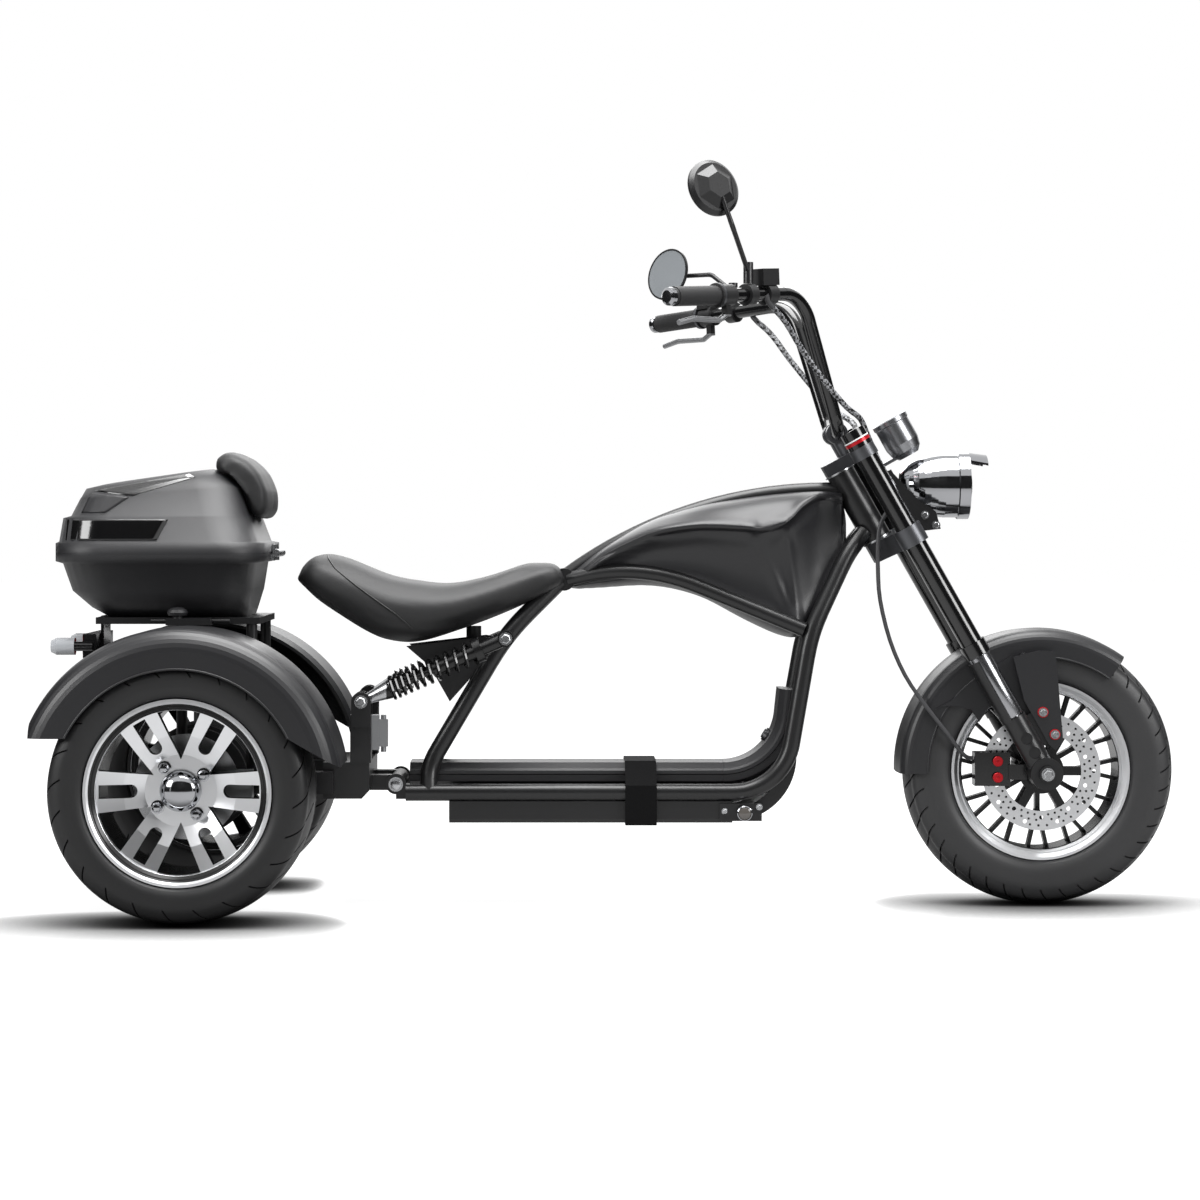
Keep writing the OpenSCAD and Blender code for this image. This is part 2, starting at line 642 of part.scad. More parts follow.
// Ring round a rounded rectangle, sloping from its rear to its front edge
function rounded(z_rear, z_front, x0, x1, w, r) = [
    for (q = [0:3]) for (i = [0:corner_steps])
        let (
            a = 90 * q + 90 * i / corner_steps,
            x = (q == 0 || q == 3 ? x1 - r : x0 + r) + r * cos(a),
            y = (q < 2 ? w - r : r - w) + r * sin(a)
        )
        [x, y, z_rear + (z_front - z_rear) * (x - x0) / (x1 - x0)]
];
function shrink(r, z, t) = [r[0] + z, r[1] + t, r[2] - t, r[3] - t, r[4] - t];
module case_tub() color(matte_black) at_rear() {
    last = len(case_rows) - 1;
    loft(concat(
        [for (r = case_rows) rounded(r[0], r[0], r[1], r[2], r[3], r[4])],
        [for (i = [last:-1:0]) let (r = shrink(case_rows[i], i == last ? 0 : case_wall, case_wall))
            rounded(r[0], r[0], r[1], r[2], r[3], r[4])]
    ));
}
// Lid: rows rear z, front z, rear x, front x, half width, corner radius
lid_rows = [
    [419 + seat_gap, 419 + seat_gap, -253, 135, 209, 86],
    [438, 438, -253, 135, 209, 86],
    [441, 441, -247, 121, 203, 84],
    [484, 486, -240, 104, 198, 82],
    [488, 490, -226, 102, 191, 80],
    [520, 540, -211, 86, 176, 76],
    [538, 566, -203, 60, 150, 70],
    [545, 575, -178, 30, 112, 60]
];
module lid_shell() color(matte_black) at_rear() {
    last = len(lid_rows) - 1;
    loft(concat(
        [for (i = [last:-1:0]) let (r = lid_rows[i], d = i == 0 ? 0 : case_wall)
            rounded(r[0] - d, r[1] - d, r[2] + case_wall, r[3] - case_wall,
                r[4] - case_wall, r[5] - case_wall)],
        [for (r = lid_rows) rounded(r[0], r[1], r[2], r[3], r[4], r[5])]
    ));
}
// Backrest pad on the front of the lid: outline rows x, z, then rows across side, share of full size
pad_outline = [
    [124, 478], [136, 512], [128, 548], [108, 580], [78, 600], [46, 604],
    [30.2, 575.6], [60.4, 566.5], [86.4, 540.3], [102.5, 490.2], [106, 482]
];
pad_rows = [[-132, 0.55], [-124, 0.82], [-96, 0.97], [0, 1], [96, 0.97], [124, 0.82], [132, 0.55]];
pad_middle = [96, 545];
module lid_backrest() color(gloss_black) at_rear() loft([for (row = pad_rows)
    [for (p = pad_outline) let (q = pad_middle + (p - pad_middle) * row[1]) [q[0], -row[0], q[1]]]]);
// Hinge at the front of the case
hinge_x = 146;
hinge_z = 419;
hinge_d = 6;
knuckle_d = 14;
knuckle_l = 60;
knuckle_side = 45;
leaf_x = 135 + seat_gap;
leaf_t = 6;
module hinge_bar(l, d, y = 0) translate([hinge_x, y, hinge_z]) rotate([90, 0, 0])
    cylinder(h = l, d = d, center = true);
module case_hinge() color(steel) at_rear() {
    hinge_bar(2 * knuckle_l, hinge_d);
    for (s = [-1, 1]) {
        hinge_bar(knuckle_l / 2 - 1, knuckle_d, s * knuckle_side);
        translate([leaf_x, s * knuckle_side - 14, hinge_z - 14]) cube([leaf_t, 28, 12]);
    }
}
module lid_knuckle() color(steel) at_rear() difference() {
    union() {
        hinge_bar(knuckle_l - 2, knuckle_d);
        translate([leaf_x, -knuckle_l / 2 + 1, hinge_z + 2]) cube([leaf_t, knuckle_l - 2, 14]);
    }
    hinge_bar(2 * knuckle_l, hinge_d + 2 * run_clear);
}

// Fork: stem and clamps
upper_clamp_z = head_tube_l / 2 + 4;
upper_clamp_t = 22;
lower_clamp_z = -head_tube_l / 2 - 4;
lower_clamp_t = 36;
clamp_boss_d = 54;
riser_x = 27;
riser_y = 34;
bar_seat_z = 138;
module clamp_plate(boss) difference() {
    union() {
        for (s = [-1, 1]) translate([fork_offset, s * leg_y]) circle(d = boss);
        polygon([[-26, -24], [fork_offset - 20, -leg_y], [fork_offset + 18, -leg_y],
            [fork_offset - 2, 0], [fork_offset + 18, leg_y], [fork_offset - 20, leg_y], [-26, 24]]);
    }
    for (s = [-1, 1]) translate([fork_offset, s * leg_y]) circle(d = fork_tube_d + 2 * run_clear);
}
riser_r = 15;
riser_cap_r = 20;
clamp_foot = lower_clamp_z - lower_clamp_t;
clamp_top = upper_clamp_z + upper_clamp_t;
module fork_clamps() color(grey) steer() {
    translate([0, 0, clamp_foot + 4]) cylinder(h = upper_clamp_z - clamp_foot, d = stem_d);
    translate([0, 0, clamp_foot]) linear_extrude(lower_clamp_t) clamp_plate(clamp_boss_d);
    translate([0, 0, upper_clamp_z]) linear_extrude(upper_clamp_t) clamp_plate(clamp_boss_d - 4);
    for (s = [-1, 1]) translate([riser_x, s * riser_y, 0]) difference() {
        union() {
            translate([0, 0, clamp_top - 2]) cylinder(h = bar_seat_z - clamp_top, r = riser_r);
            translate([0, 0, bar_seat_z]) rotate([90, 0, 0])
                cylinder(h = 2 * riser_r, r = riser_cap_r, center = true);
        }
        translate([0, 0, bar_seat_z]) rotate([90, 0, 0])
            cylinder(h = 2 * riser_cap_r, d = bar_d + 2 * run_clear, center = true);
    }
}
// Upper tubes with their top caps and lower collars
collar_z = -fork_length + 257.6;
slider_foot_z = -fork_length + 118.6;
module on_legs() steer() for (s = [-1, 1]) translate([fork_offset, s * leg_y, 0]) children();
module fork_tubes() color(gloss_black) on_legs() {
    difference() {
        translate([0, 0, collar_z]) cylinder(h = clamp_top + 18 - collar_z, d = fork_tube_d);
        translate([0, 0, collar_z - 1]) cylinder(h = 60, d = fork_slider_d + 2 * run_clear);
    }
    translate([0, 0, clamp_top + seat_gap]) difference() {
        cylinder(h = 34, d = fork_tube_d + 7);
        translate([0, 0, -1]) cylinder(h = 19 - seat_gap, d = fork_tube_d - 0.5);
    }
    difference() {
        translate([0, 0, collar_z - 8]) cylinder(h = 26, d = fork_tube_d + 9);
        translate([0, 0, collar_z - 9]) cylinder(h = 40, d = fork_slider_d + 2 * run_clear);
    }
}
slider_in = 30;
module fork_sliders() color(chrome) on_legs()
    translate([0, 0, slider_foot_z - slider_in])
        cylinder(h = collar_z + 50 - slider_foot_z + slider_in, d = fork_slider_d);
// Lower castings with the axle clamps, the stanchion guards and the axle
casting_d = 46;
front_axle_d = 20;
lug_in = 17;
lug_depth = 9.7;
module fork_castings() color(matte_black) {
    steer() for (s = [-1, 1]) translate([fork_offset, s * leg_y, 0]) {
        difference() {
            union() {
                translate([0, 0, -fork_length]) cylinder(h = slider_foot_z + fork_length, d = casting_d);
                translate([0, -26, -fork_length]) rotate([-90, 0, 0]) cylinder(h = 52, r = 30);
                translate([0, s > 0 ? -lug_in : lug_in - lug_depth, -fork_length + 44])
                    cube([60, lug_depth, 64]);
            }
            translate([0, 0, slider_foot_z - slider_in - run_clear])
                cylinder(h = 2 * slider_in, d = fork_slider_d + 2 * run_clear);
            translate([0, -40, -fork_length]) rotate([-90, 0, 0])
                cylinder(h = 80, d = front_axle_d + 2 * run_clear);
            for (e = [0, 1]) translate([0, s * (casting_d / 2 - 3), slider_foot_z - 44 - 30 * e])
                rotate([-90 * s, 0, 0]) cylinder(h = 10, r = 11);
        }
        translate([0, 0, slider_foot_z - 4]) rotate([0, 0, 110]) rotate_extrude(angle = 140)
            translate([casting_d / 2 - 1, 0]) square([3, collar_z - slider_foot_z - 12]);
    }
    at_front() rotate([90, 0, 0]) {
        translate([0, 0, -leg_y - 34]) cylinder(h = leg_spacing + 68, d = front_axle_d);
        for (s = [-1, 1]) translate([0, 0, s * (leg_y + 31) - 4]) cylinder(h = 8, r = 15);
    }
}
// Front mudguard with its stay plates
front_guard_half = 73;
front_guard_skirt = front_guard_r - 53;
front_guard_start = 54;
front_guard_end = 181;
stay_t = 3;
stay_y = leg_y - 7;
stay_plate = [
    [-58, front_guard_r - 51], [-10, front_guard_r - 39], [20, front_guard_r - 41],
    [34, 58], [20, 42], [8, 52], [-38, 134]
];
stay_posts = [for (a = [99.5, 87.9]) (front_guard_r - 47) * [cos(a), sin(a)]];
guard_round = 24;
// One side of the crown's section, from the skirt to the top
function crown_side(inset) = concat(
    [[front_guard_skirt, -front_guard_half + inset]],
    arc([front_guard_r - guard_round - 2, guard_round - front_guard_half], guard_round - inset, -90, -10, 6)
);
function flipped(rows) = [for (i = [len(rows) - 1:-1:0]) [rows[i][0], -rows[i][1]]];
module front_fender() color(matte_black) at_front() rotate([90, 0, 0]) {
    intersection() {
        rotate_extrude() polygon(concat(
            crown_side(0), [[front_guard_r, 0]], flipped(crown_side(0)),
            [for (p = crown_side(guard_wall)) [p[0], -p[1]]], [[front_guard_r - guard_wall, 0]],
            [for (p = flipped(crown_side(guard_wall))) [p[0], -p[1]]]
        ));
        translate([0, 0, -100]) linear_extrude(200)
            polygon(concat([[0, 0]], arc([0, 0], 400, front_guard_start, front_guard_end, 6)));
    }
    for (s = [-1, 1]) {
        translate([0, 0, s > 0 ? stay_y : -stay_y - stay_t]) linear_extrude(stay_t) polygon(stay_plate);
        for (p = stay_posts) translate([p[0], p[1], s > 0 ? front_guard_half - 2 : -stay_y - 1])
            cylinder(h = stay_y - front_guard_half + 3, r = 6);
    }
}
// Front caliper behind the right leg, astride the disc
front_disc_y = -56;
disc_t = 4;
caliper_out = front_disc_d / 2 + 16;
caliper_w = 66;
module front_caliper() color(gloss_black) at_front() translate([0, front_disc_y, 0]) {
    difference() {
        translate([-caliper_out, -21, -26]) cube([caliper_w, 42, 62]);
        translate([0, -4, 0]) rotate([-90, 0, 0]) cylinder(h = 8, r = front_disc_d / 2 + 5);
    }
    for (z = [-10, 20]) translate([42 - caliper_out, -21, z]) rotate([90, 0, 0]) cylinder(h = 5, r = 8);
    translate([caliper_w - caliper_out - 4, -25.5, -14])
        cube([caliper_out - caliper_w + 4 - 30 - seat_gap, 12, 28]);
}

// Headlamp bullet, its lens and peak, from the steering head
lamp_c = [142, 37];
lamp_d = 126;
lamp_rear = -65;
lamp_front = 62;
module lamp_axis() at_head() translate([lamp_c[0], 0, lamp_c[1]]) rotate([0, 90, 0]) children();
module lamp_bullet(grow) rotate_extrude() polygon(concat(
    [[0, lamp_rear - grow]],
    quad([24, lamp_rear - grow], [lamp_d / 2 - 8 + grow, lamp_rear + 22],
        [lamp_d / 2 - 3 + grow, lamp_front - 46], 8),
    [[lamp_d / 2 - 3 + grow, lamp_front - 46], [lamp_d / 2 - 3 + grow, lamp_front - 22],
        [lamp_d / 2 + grow, lamp_front - 20], [lamp_d / 2 + grow, lamp_front], [0, lamp_front]]
));
module headlamp_bucket() color(chrome) lamp_axis() difference() {
    union() {
        lamp_bullet(0);
        intersection() {
            rotate_extrude() polygon([[lamp_d / 2 - 3, lamp_front - 12], [lamp_d / 2, lamp_front - 12],
                [lamp_d / 2 - 6, lamp_front + 34], [lamp_d / 2 - 9, lamp_front + 34]]);
            translate([-200, -40, 0]) cube([200, 80, 200]);
        }
    }
    translate([0, 0, lamp_front - 30]) cylinder(h = 60, d = lamp_d - 16);
}
module headlamp_lens() color(glass) lamp_axis() rotate_extrude() polygon(concat(
    [[0, lamp_front - 29.7], [lamp_d / 2 - 8.3, lamp_front - 29.7], [lamp_d / 2 - 8.3, lamp_front - 4]],
    quad([lamp_d / 2 - 8.3, lamp_front - 4], [lamp_d / 4, lamp_front + 8], [0, lamp_front + 8], 6),
    [[0, lamp_front + 8]]
));
// Bracket plates from the lower clamp to the lamp and to the gauge
module headlamp_bracket() color(matte_black) difference() {
    steer() {
        both_sides() translate([0, 40, 0]) rotate([90, 0, 0]) linear_extrude(5)
            polygon([[70, -96], [108, -112], [116, -80], [92, -20], [80, 30], [64, 30], [62, -40]]);
        translate([56, -40, -92]) cube([18, 80, 20]);
        translate([62, -40, 20]) cube([20, 80, 10]);
    }
    lamp_axis() lamp_bullet(seat_gap);
}
gauge_c = [128, 74];
gauge_d = 70;
gauge_l = 78;
module gauge() color(chrome) steer() translate([gauge_c[0], 0, gauge_c[1] - gauge_l / 2]) {
    rotate_extrude() polygon([
        [0, 0], [20, 0], [gauge_d / 2 - 6, 10], [gauge_d / 2 - 2, 26], [gauge_d / 2 - 2, gauge_l - 12],
        [gauge_d / 2, gauge_l - 10], [gauge_d / 2, gauge_l - 2], [gauge_d / 2 - 4, gauge_l], [0, gauge_l]
    ]);
    translate([-52, -12, 4]) cube([40, 24, 6]);
}

// Handlebar from the steering head: rows x, side, z, bend radius
bar_seat = [
    riser_x * cos(rake) - bar_seat_z * sin(rake),
    riser_x * sin(rake) + bar_seat_z * cos(rake)
];
bar_rows = [
    [bar_seat[0], 88, bar_seat[1], 42],
    [-118, 140, 387, 70],
    [-361, 390, 364, 0]
];
bar_tip = [-361, 390, 364];
bar_dir = unit(bar_tip - [-118, 140, 387]);
module along_bar(t) translate(bar_tip - bar_dir * t)
    rotate([0, acos(bar_dir[2]), atan2(bar_dir[1], bar_dir[0])]) children();
module handlebar() color(gloss_black) at_head() tube(concat(
    [for (i = [len(bar_rows) - 1:-1:0]) let (r = bar_rows[i]) [r[0], -r[1], r[2], r[3]]],
    bar_rows), bar_d);
module grips() color(rubber) at_head() both_sides() along_bar(grip_l) difference() {
    union() {
        cylinder(h = grip_l, d = grip_d);
        cylinder(h = 8, d = grip_d + 9);
        translate([0, 0, grip_l]) cylinder(h = 6, d1 = grip_d - 4, d2 = 20);
    }
    translate([0, 0, -1]) cylinder(h = grip_l + 1 + seat_gap, d = bar_d + 2 * run_clear);
}
// Clamps with the brake levers, the right reservoir and the left switch block
module hand_controls() color(gloss_black) at_head() {
    both_sides() {
        for (row = [[34, 30], [92, 20]]) along_bar(grip_l + row[0]) difference() {
            cylinder(h = row[1], d = bar_d + 14);
            translate([0, 0, -1]) cylinder(h = 40, d = bar_d + 2 * run_clear);
        }
        along_bar(grip_l + 20) {
            translate([16, -6, -6]) cube([22, 12, 12]);
            tube([[34, 0, 0, 0], [44, 0, 20, 12], [40, 0, 90, 40], [46, 0, 128, 0]], 10);
        }
    }
    mirror([0, 1, 0]) along_bar(grip_l + 148) {
        translate([-46, -14, -6]) cube([30, 28, 44]);
        difference() {
            cylinder(h = 24, d = bar_d + 14);
            translate([0, 0, -1]) cylinder(h = 40, d = bar_d + 2 * run_clear);
        }
    }
    along_bar(grip_l + 30) translate([-34, -12, 2]) cube([20, 30, 26]);
}

// Mirrors, from the steering head: rows head centre, stem foot, stem knee, face direction
mirror_d = 104;
mirror_t = 20;
mirror_set = [
    [[-289, -330, 560], [-222, -247, 418], [-256, -345, 492], [-0.50, 0.83, -0.25]],
    [[-346, 338, 459], [-222, 247, 418], [-262, 300, 456], [-0.70, -0.68, 0.2]]
];
module face(m) translate(m[0]) rotate([0, acos(unit(m[3])[2]), atan2(m[3][1], m[3][0])]) children();
module mirror_heads() color(gloss_black) at_head() for (m = mirror_set) {
    face(m) {
        rotate_extrude() polygon([[0, -8], [mirror_d / 2 - 7, -8], [mirror_d / 2, -2], [mirror_d / 2, 3],
            [mirror_d / 2 - 3, 3], [mirror_d / 2 - 3, 0], [0, 0]]);
        translate([0, 0, -mirror_t]) cylinder(h = mirror_t - 4, r1 = 24, r2 = mirror_d / 2 - 4, $fn = 6);
    }
    tube([concat(m[1], 0), concat(m[2], 24), concat(m[0] - unit(m[3]) * (mirror_t - 4), 0)], 9);
    translate(m[1] - [0, 0, 20.5]) cylinder(h = 38, r = 9);
}
module mirror_glasses() color(glass) at_head() for (m = mirror_set)
    face(m) translate([0, 0, seat_gap]) cylinder(h = 2, r = mirror_d / 2 - 3.3);

// Brake hose and control cables from the steering head
hose_d = 8;
hose_route = [
    [70, -44.5, 6], [50, -62, -8], [32, -76, -40], [28, -80, -80], [28, -80, -120], [32, -80, -176],
    [50, -80, -250], [78, -80, -315], [115, -80, -370], [158, -78, -425], [182, -66, -456],
    [195, -58, -468], [206.8, -56, -470]
];
module brake_hose() color(rubber) at_head() hose(smooth_rows(hose_route, 3), hose_d);
cable_d = 11;
cable_route = [
    [-176, -215, 357], [-150, -190, 330], [-118, -160, 282], [-72, -136, 222], [-34, -118, 180],
    [-6, -88, 160], [10, -66, 130], [31, -52, 84], [60, -45.9, 36]
];
module cable_loom() color(rubber) at_head() both_sides() hose(smooth_rows(cable_route, 3), cable_d);

// Wheels, made about Z with +Z to the outside
function rim_section(w) = [
    [rim_r, w / 2 + lip_t], [rim_r, w / 2], [rim_r - seat_depth, w / 2], [rim_r - seat_depth, -w / 2],
    [rim_r, -w / 2], [rim_r, -w / 2 - lip_t], [rim_r - 5, -w / 2 - lip_t],
    [barrel_in, -w / 2 + 6], [barrel_in, w / 2 - 6], [rim_r - 5, w / 2 + lip_t]
];
// Tyre: bead between the lips, bulged wall, shoulder and crown
function tyre_side(r, w, rim_w, shoulder, drop) = let (h = r - rim_r) concat(
    [[rim_r - seat_depth, rim_w / 2]],
    quad([rim_r, rim_w / 2], [rim_r + 4, w / 2], [rim_r + h * 0.45, w / 2], 5),
    quad([rim_r + h * 0.45, w / 2], [r - drop * 0.6, w / 2], [r - drop, w / 2 - shoulder], 5),
    quad([r - drop, w / 2 - shoulder], [r, (w / 2 - shoulder) * 0.5], [r, 0], 5)
);
module tyre(r, w, rim_w, shoulder, drop) rotate_extrude() {
    side = tyre_side(r, w, rim_w, shoulder, drop);
    polygon(concat(side, [[r, 0]], [for (i = [len(side) - 1:-1:0]) [side[i][0], -side[i][1]]]));
}
hub_d = 56;
hub_half = -front_disc_y - disc_t / 2 - seat_gap;
spoke_t = 20;
module front_spoke_pattern() for (k = [0:front_spokes - 1]) rotate(360 / front_spokes * k) {
    translate([hub_d / 2 - 4, -4.5]) square([50, 9]);
    for (s = [-1, 1]) translate([hub_d / 2 + 42, 0]) rotate(s * 13)
        translate([0, -3.5]) square([barrel_in - hub_d / 2 - 36, 7]);
}
module front_rim() color(gloss_black) at_front() rotate([90, 0, 0]) difference() {
    union() {
        rotate_extrude() polygon(rim_section(front_rim_w));
        cylinder(h = 2 * hub_half, d = hub_d, center = true);
        intersection() {
            linear_extrude(spoke_t, center = true) front_spoke_pattern();
            cylinder(h = 40, r = barrel_in + 2, center = true);
        }
    }
    cylinder(h = 200, d = front_axle_d + 2 * run_clear, center = true);
}
module front_tyre() color(rubber) at_front() rotate([90, 0, 0])
    tyre(front_tyre_d / 2, front_tyre_w, front_rim_w, 24, 12);
disc_holes = 20;
module front_disc() color(steel) at_front() translate([0, front_disc_y + disc_t / 2, 0])
    rotate([90, 0, 0]) linear_extrude(disc_t) {
    difference() {
        circle(d = front_disc_d);
        circle(r = front_disc_d / 2 - 36);
        for (k = [0:disc_holes - 1]) rotate(360 / disc_holes * k)
            translate([front_disc_d / 2 - (k % 2 == 0 ? 12 : 24), 0]) circle(r = 4);
    }
    difference() {
        union() {
            circle(r = 42);
            for (k = [0:5]) rotate(60 * k) translate([0, -8]) square([front_disc_d / 2 - 34, 16]);
        }
        circle(d = front_axle_d + 12);
    }
}
// Rear wheel: dished spokes, each with a slot open to the rim, on a deep hub
hub_face = 32;
slot_w = 24;
slot_start = 88;
spoke_dish = [
    [36, 4], [36, hub_face], [64, hub_face], [100, 48],
    [barrel_in + 2, 62], [barrel_in + 2, 34], [100, 22], [60, 4]
];
module rear_spoke_pattern() {
    circle(r = 54);
    difference() {
        for (k = [0:rear_spokes - 1]) rotate(360 / rear_spokes * k)
            polygon([[30, -26], [barrel_in + 4, -38], [barrel_in + 4, 38], [30, 26]]);
        for (k = [0:rear_spokes - 1]) rotate(360 / rear_spokes * k) {
            translate([slot_start, 0]) circle(d = slot_w);
            translate([slot_start, -slot_w / 2]) square([barrel_in - 4 - slot_start, slot_w]);
        }
    }
}
module rear_rim(side) color(steel) at_rear() translate([0, side * track / 2, 0]) facing(side) difference() {
    union() {
        rotate_extrude() polygon(rim_section(rear_rim_w));
        intersection() {
            linear_extrude(90) rear_spoke_pattern();
            rotate_extrude() polygon(spoke_dish);
        }
        translate([0, 0, hub_in + 6 + seat_gap]) cylinder(h = hub_face - hub_in - 6 - seat_gap, r = 40);
        translate([0, 0, hub_face]) rotate_extrude()
            polygon(concat([[0, 0], [30, 0]], quad([30, 12], [28, 26], [0, 28], 6), [[0, 28]]));
    }
    translate([0, 0, hub_in - 10]) cylinder(h = 18 + 0.6 - hub_in + 10, d = stub_d + 2 * run_clear);
}
module rear_rim_left() rear_rim(1);
module rear_rim_right() rear_rim(-1);
module rear_tyre(side) color(rubber) at_rear() translate([0, side * track / 2, 0]) facing(side)
    tyre(rear_tyre_d / 2, rear_tyre_w, rear_rim_w, 30, 8);
module rear_tyre_left() rear_tyre(1);
module rear_tyre_right() rear_tyre(-1);
module rear_disc(side) color(steel) at_rear() translate([0, side * track / 2, 0]) facing(side)
    translate([0, 0, hub_in + 2]) difference() {
        cylinder(h = disc_t, d = rear_disc_d);
        translate([0, 0, -1]) cylinder(h = 10, d = stub_d + 2 * run_clear);
    }
module rear_disc_left() rear_disc(1);
module rear_disc_right() rear_disc(-1);

frame_tubes();
body_shell();
footboard();
leg_guard();
battery_case();
battery_strap();
side_lamps();
charge_socket();
seat_cushion();
seat_bracket();
shock_dampers();
shock_springs();
swing_arm();
drive_axle();
rear_calipers();
rear_fender_left();
rear_fender_right();
rear_rack();
tail_lamp();
rear_indicators();
case_tub();
case_hinge();
lid_shell();
lid_backrest();
lid_knuckle();
fork_clamps();
fork_tubes();
fork_sliders();
fork_castings();
front_fender();
front_caliper();
headlamp_bucket();
headlamp_lens();
headlamp_bracket();
gauge();
handlebar();
grips();
hand_controls();
mirror_heads();
mirror_glasses();
brake_hose();
cable_loom();
front_rim();
front_tyre();
front_disc();
rear_rim_left();
rear_rim_right();
rear_tyre_left();
rear_tyre_right();
rear_disc_left();
rear_disc_right();
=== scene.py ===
import math

import bmesh
import bpy
from mathutils import Matrix, Vector
from mathutils.bvhtree import BVHTree


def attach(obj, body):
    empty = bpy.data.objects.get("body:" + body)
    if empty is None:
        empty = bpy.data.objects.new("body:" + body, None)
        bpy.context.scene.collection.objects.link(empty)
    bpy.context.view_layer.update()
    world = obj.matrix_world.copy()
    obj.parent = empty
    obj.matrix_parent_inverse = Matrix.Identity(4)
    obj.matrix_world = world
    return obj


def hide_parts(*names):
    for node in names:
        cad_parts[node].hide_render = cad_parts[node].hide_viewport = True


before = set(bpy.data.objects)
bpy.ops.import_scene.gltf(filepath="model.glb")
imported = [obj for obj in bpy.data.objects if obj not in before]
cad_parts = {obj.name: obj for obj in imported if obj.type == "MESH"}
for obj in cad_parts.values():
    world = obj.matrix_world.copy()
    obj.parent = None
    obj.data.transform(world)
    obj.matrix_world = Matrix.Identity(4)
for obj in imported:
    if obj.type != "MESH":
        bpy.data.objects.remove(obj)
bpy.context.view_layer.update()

# Frame, swing arm and rack.
# Bent and welded steel tubes and plates, powder coated satin black, so the light runs along
# them in long soft lines with a very fine orange peel.


def linear(code):
    # sRGB hex value to linear colour
    channels = [int(code[i:i + 2], 16) / 255 for i in (1, 3, 5)]
    return [c / 12.92 if c <= 0.04045 else ((c + 0.055) / 1.055) ** 2.4 for c in channels] + [1.0]


def add(tree, kind, settings=None, values=None, links=None):
    # One shader node with its settings, its sockets' values and its links
    item = tree.nodes.new(kind)
    for name, value in (settings or {}).items():
        setattr(item, name, value)
    for socket, value in (values or {}).items():
        item.inputs[socket].default_value = value
    for socket, (source, output) in (links or {}).items():
        tree.links.new(source.outputs[output], item.inputs[socket])
    return item


def finish(name, colour, roughness, metallic=0.0, spread=0.05, grain=1.5, bump=0.04, coat=0.0,
           cloud=0.12):
    # grain: size of the surface's texture in millimetres; cloud: share by which the colour drifts
    material = bpy.data.materials.new(name)
    material.use_nodes = True
    tree = material.node_tree
    shader = tree.nodes["Principled BSDF"]
    shader.inputs["Metallic"].default_value = metallic
    shader.inputs["Coat Weight"].default_value = coat
    shader.inputs["Coat Roughness"].default_value = 0.12
    place = add(tree, "ShaderNodeTexCoord")
    fine = add(tree, "ShaderNodeTexNoise", values={"Scale": 1000 / grain, "Detail": 3.0},
               links={"Vector": (place, "Object")})
    broad = add(tree, "ShaderNodeTexNoise", values={"Scale": 9.0, "Detail": 2.0},
                links={"Vector": (place, "Object")})
    tone = linear(colour)
    low = [c * (1 - cloud) for c in tone[:3]] + [1.0]
    high = [min(1.0, c * (1 + cloud)) for c in tone[:3]] + [1.0]
    drift = add(tree, "ShaderNodeMix", {"data_type": "RGBA"}, {6: low, 7: high}, {0: (broad, "Fac")})
    tree.links.new(drift.outputs[2], shader.inputs["Base Color"])
    rough = add(tree, "ShaderNodeMapRange",
                values={"To Min": roughness - spread, "To Max": roughness + spread},
                links={"Value": (fine, "Fac")})
    tree.links.new(rough.outputs["Result"], shader.inputs["Roughness"])
    relief = add(tree, "ShaderNodeBump", values={"Strength": bump, "Distance": 0.001},
                 links={"Height": (fine, "Fac")})
    tree.links.new(relief.outputs["Normal"], shader.inputs["Normal"])
    return material


def dress(material, *nodes):
    # Gives CAD nodes their material
    for name in nodes:
        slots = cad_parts[name].data.materials
        slots.clear()
        slots.append(material)


frame_coat = finish("satin black powder coat on steel", "#171718", 0.32)
dress(frame_coat, "frame_tubes", "swing_arm", "seat_bracket", "rear_rack", "battery_case",
      "headlamp_bracket")

# Fastenings of the frame.
# Zinc plated hexagon bolts on plain washers, turned and stamped steel with a bright satin look,
# at the swing arm's pivot and at the eyes of the shock absorbers.


def turned(bm, start, axis, rows, sides=24):
    # Spins rows of distance along the axis and radius, both in millimetres, into a turned piece
    axis = Vector(axis).normalized()
    side = axis.orthogonal().normalized()
    start = Vector(start)
    line = [bm.verts.new(start + axis * t * 0.001 + side * r * 0.001) for t, r in rows]
    edges = [bm.edges.new(pair) for pair in zip(line, line[1:])]
    bmesh.ops.spin(bm, geom=line + edges, cent=start, axis=axis, dvec=(0, 0, 0), angle=math.tau,
                   steps=sides, use_merge=True, use_duplicate=False)
    bmesh.ops.remove_doubles(bm, verts=bm.verts[:], dist=2e-6)


def bolt(bm, start, axis, radius, height):
    # Washer, hexagon head with a turned top
    washer, thick = radius * 1.35, height * 0.25
    turned(bm, start, axis, [(0, 0), (0, washer), (thick, washer), (thick, 0)], 20)
    turned(bm, start, axis, [(height * 0.2, 0), (height * 0.2, radius), (height * 0.88, radius),
                             (height, radius * 0.82), (height, 0)], 6)


def build(name, bm, material, body, sharp=32):
    # Makes a bmesh a piece on its body, smooth but for edges sharper than an angle in degrees
    bmesh.ops.recalc_face_normals(bm, faces=bm.faces[:])
    mesh = bpy.data.meshes.new(name)
    bm.to_mesh(mesh)
    bm.free()
    mesh.materials.append(material)
    for face in mesh.polygons:
        face.use_smooth = True
    mesh.set_sharp_from_angle(angle=math.radians(sharp))
    piece = bpy.data.objects.new(name, mesh)
    bpy.context.scene.collection.objects.link(piece)
    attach(piece, body)
    return piece


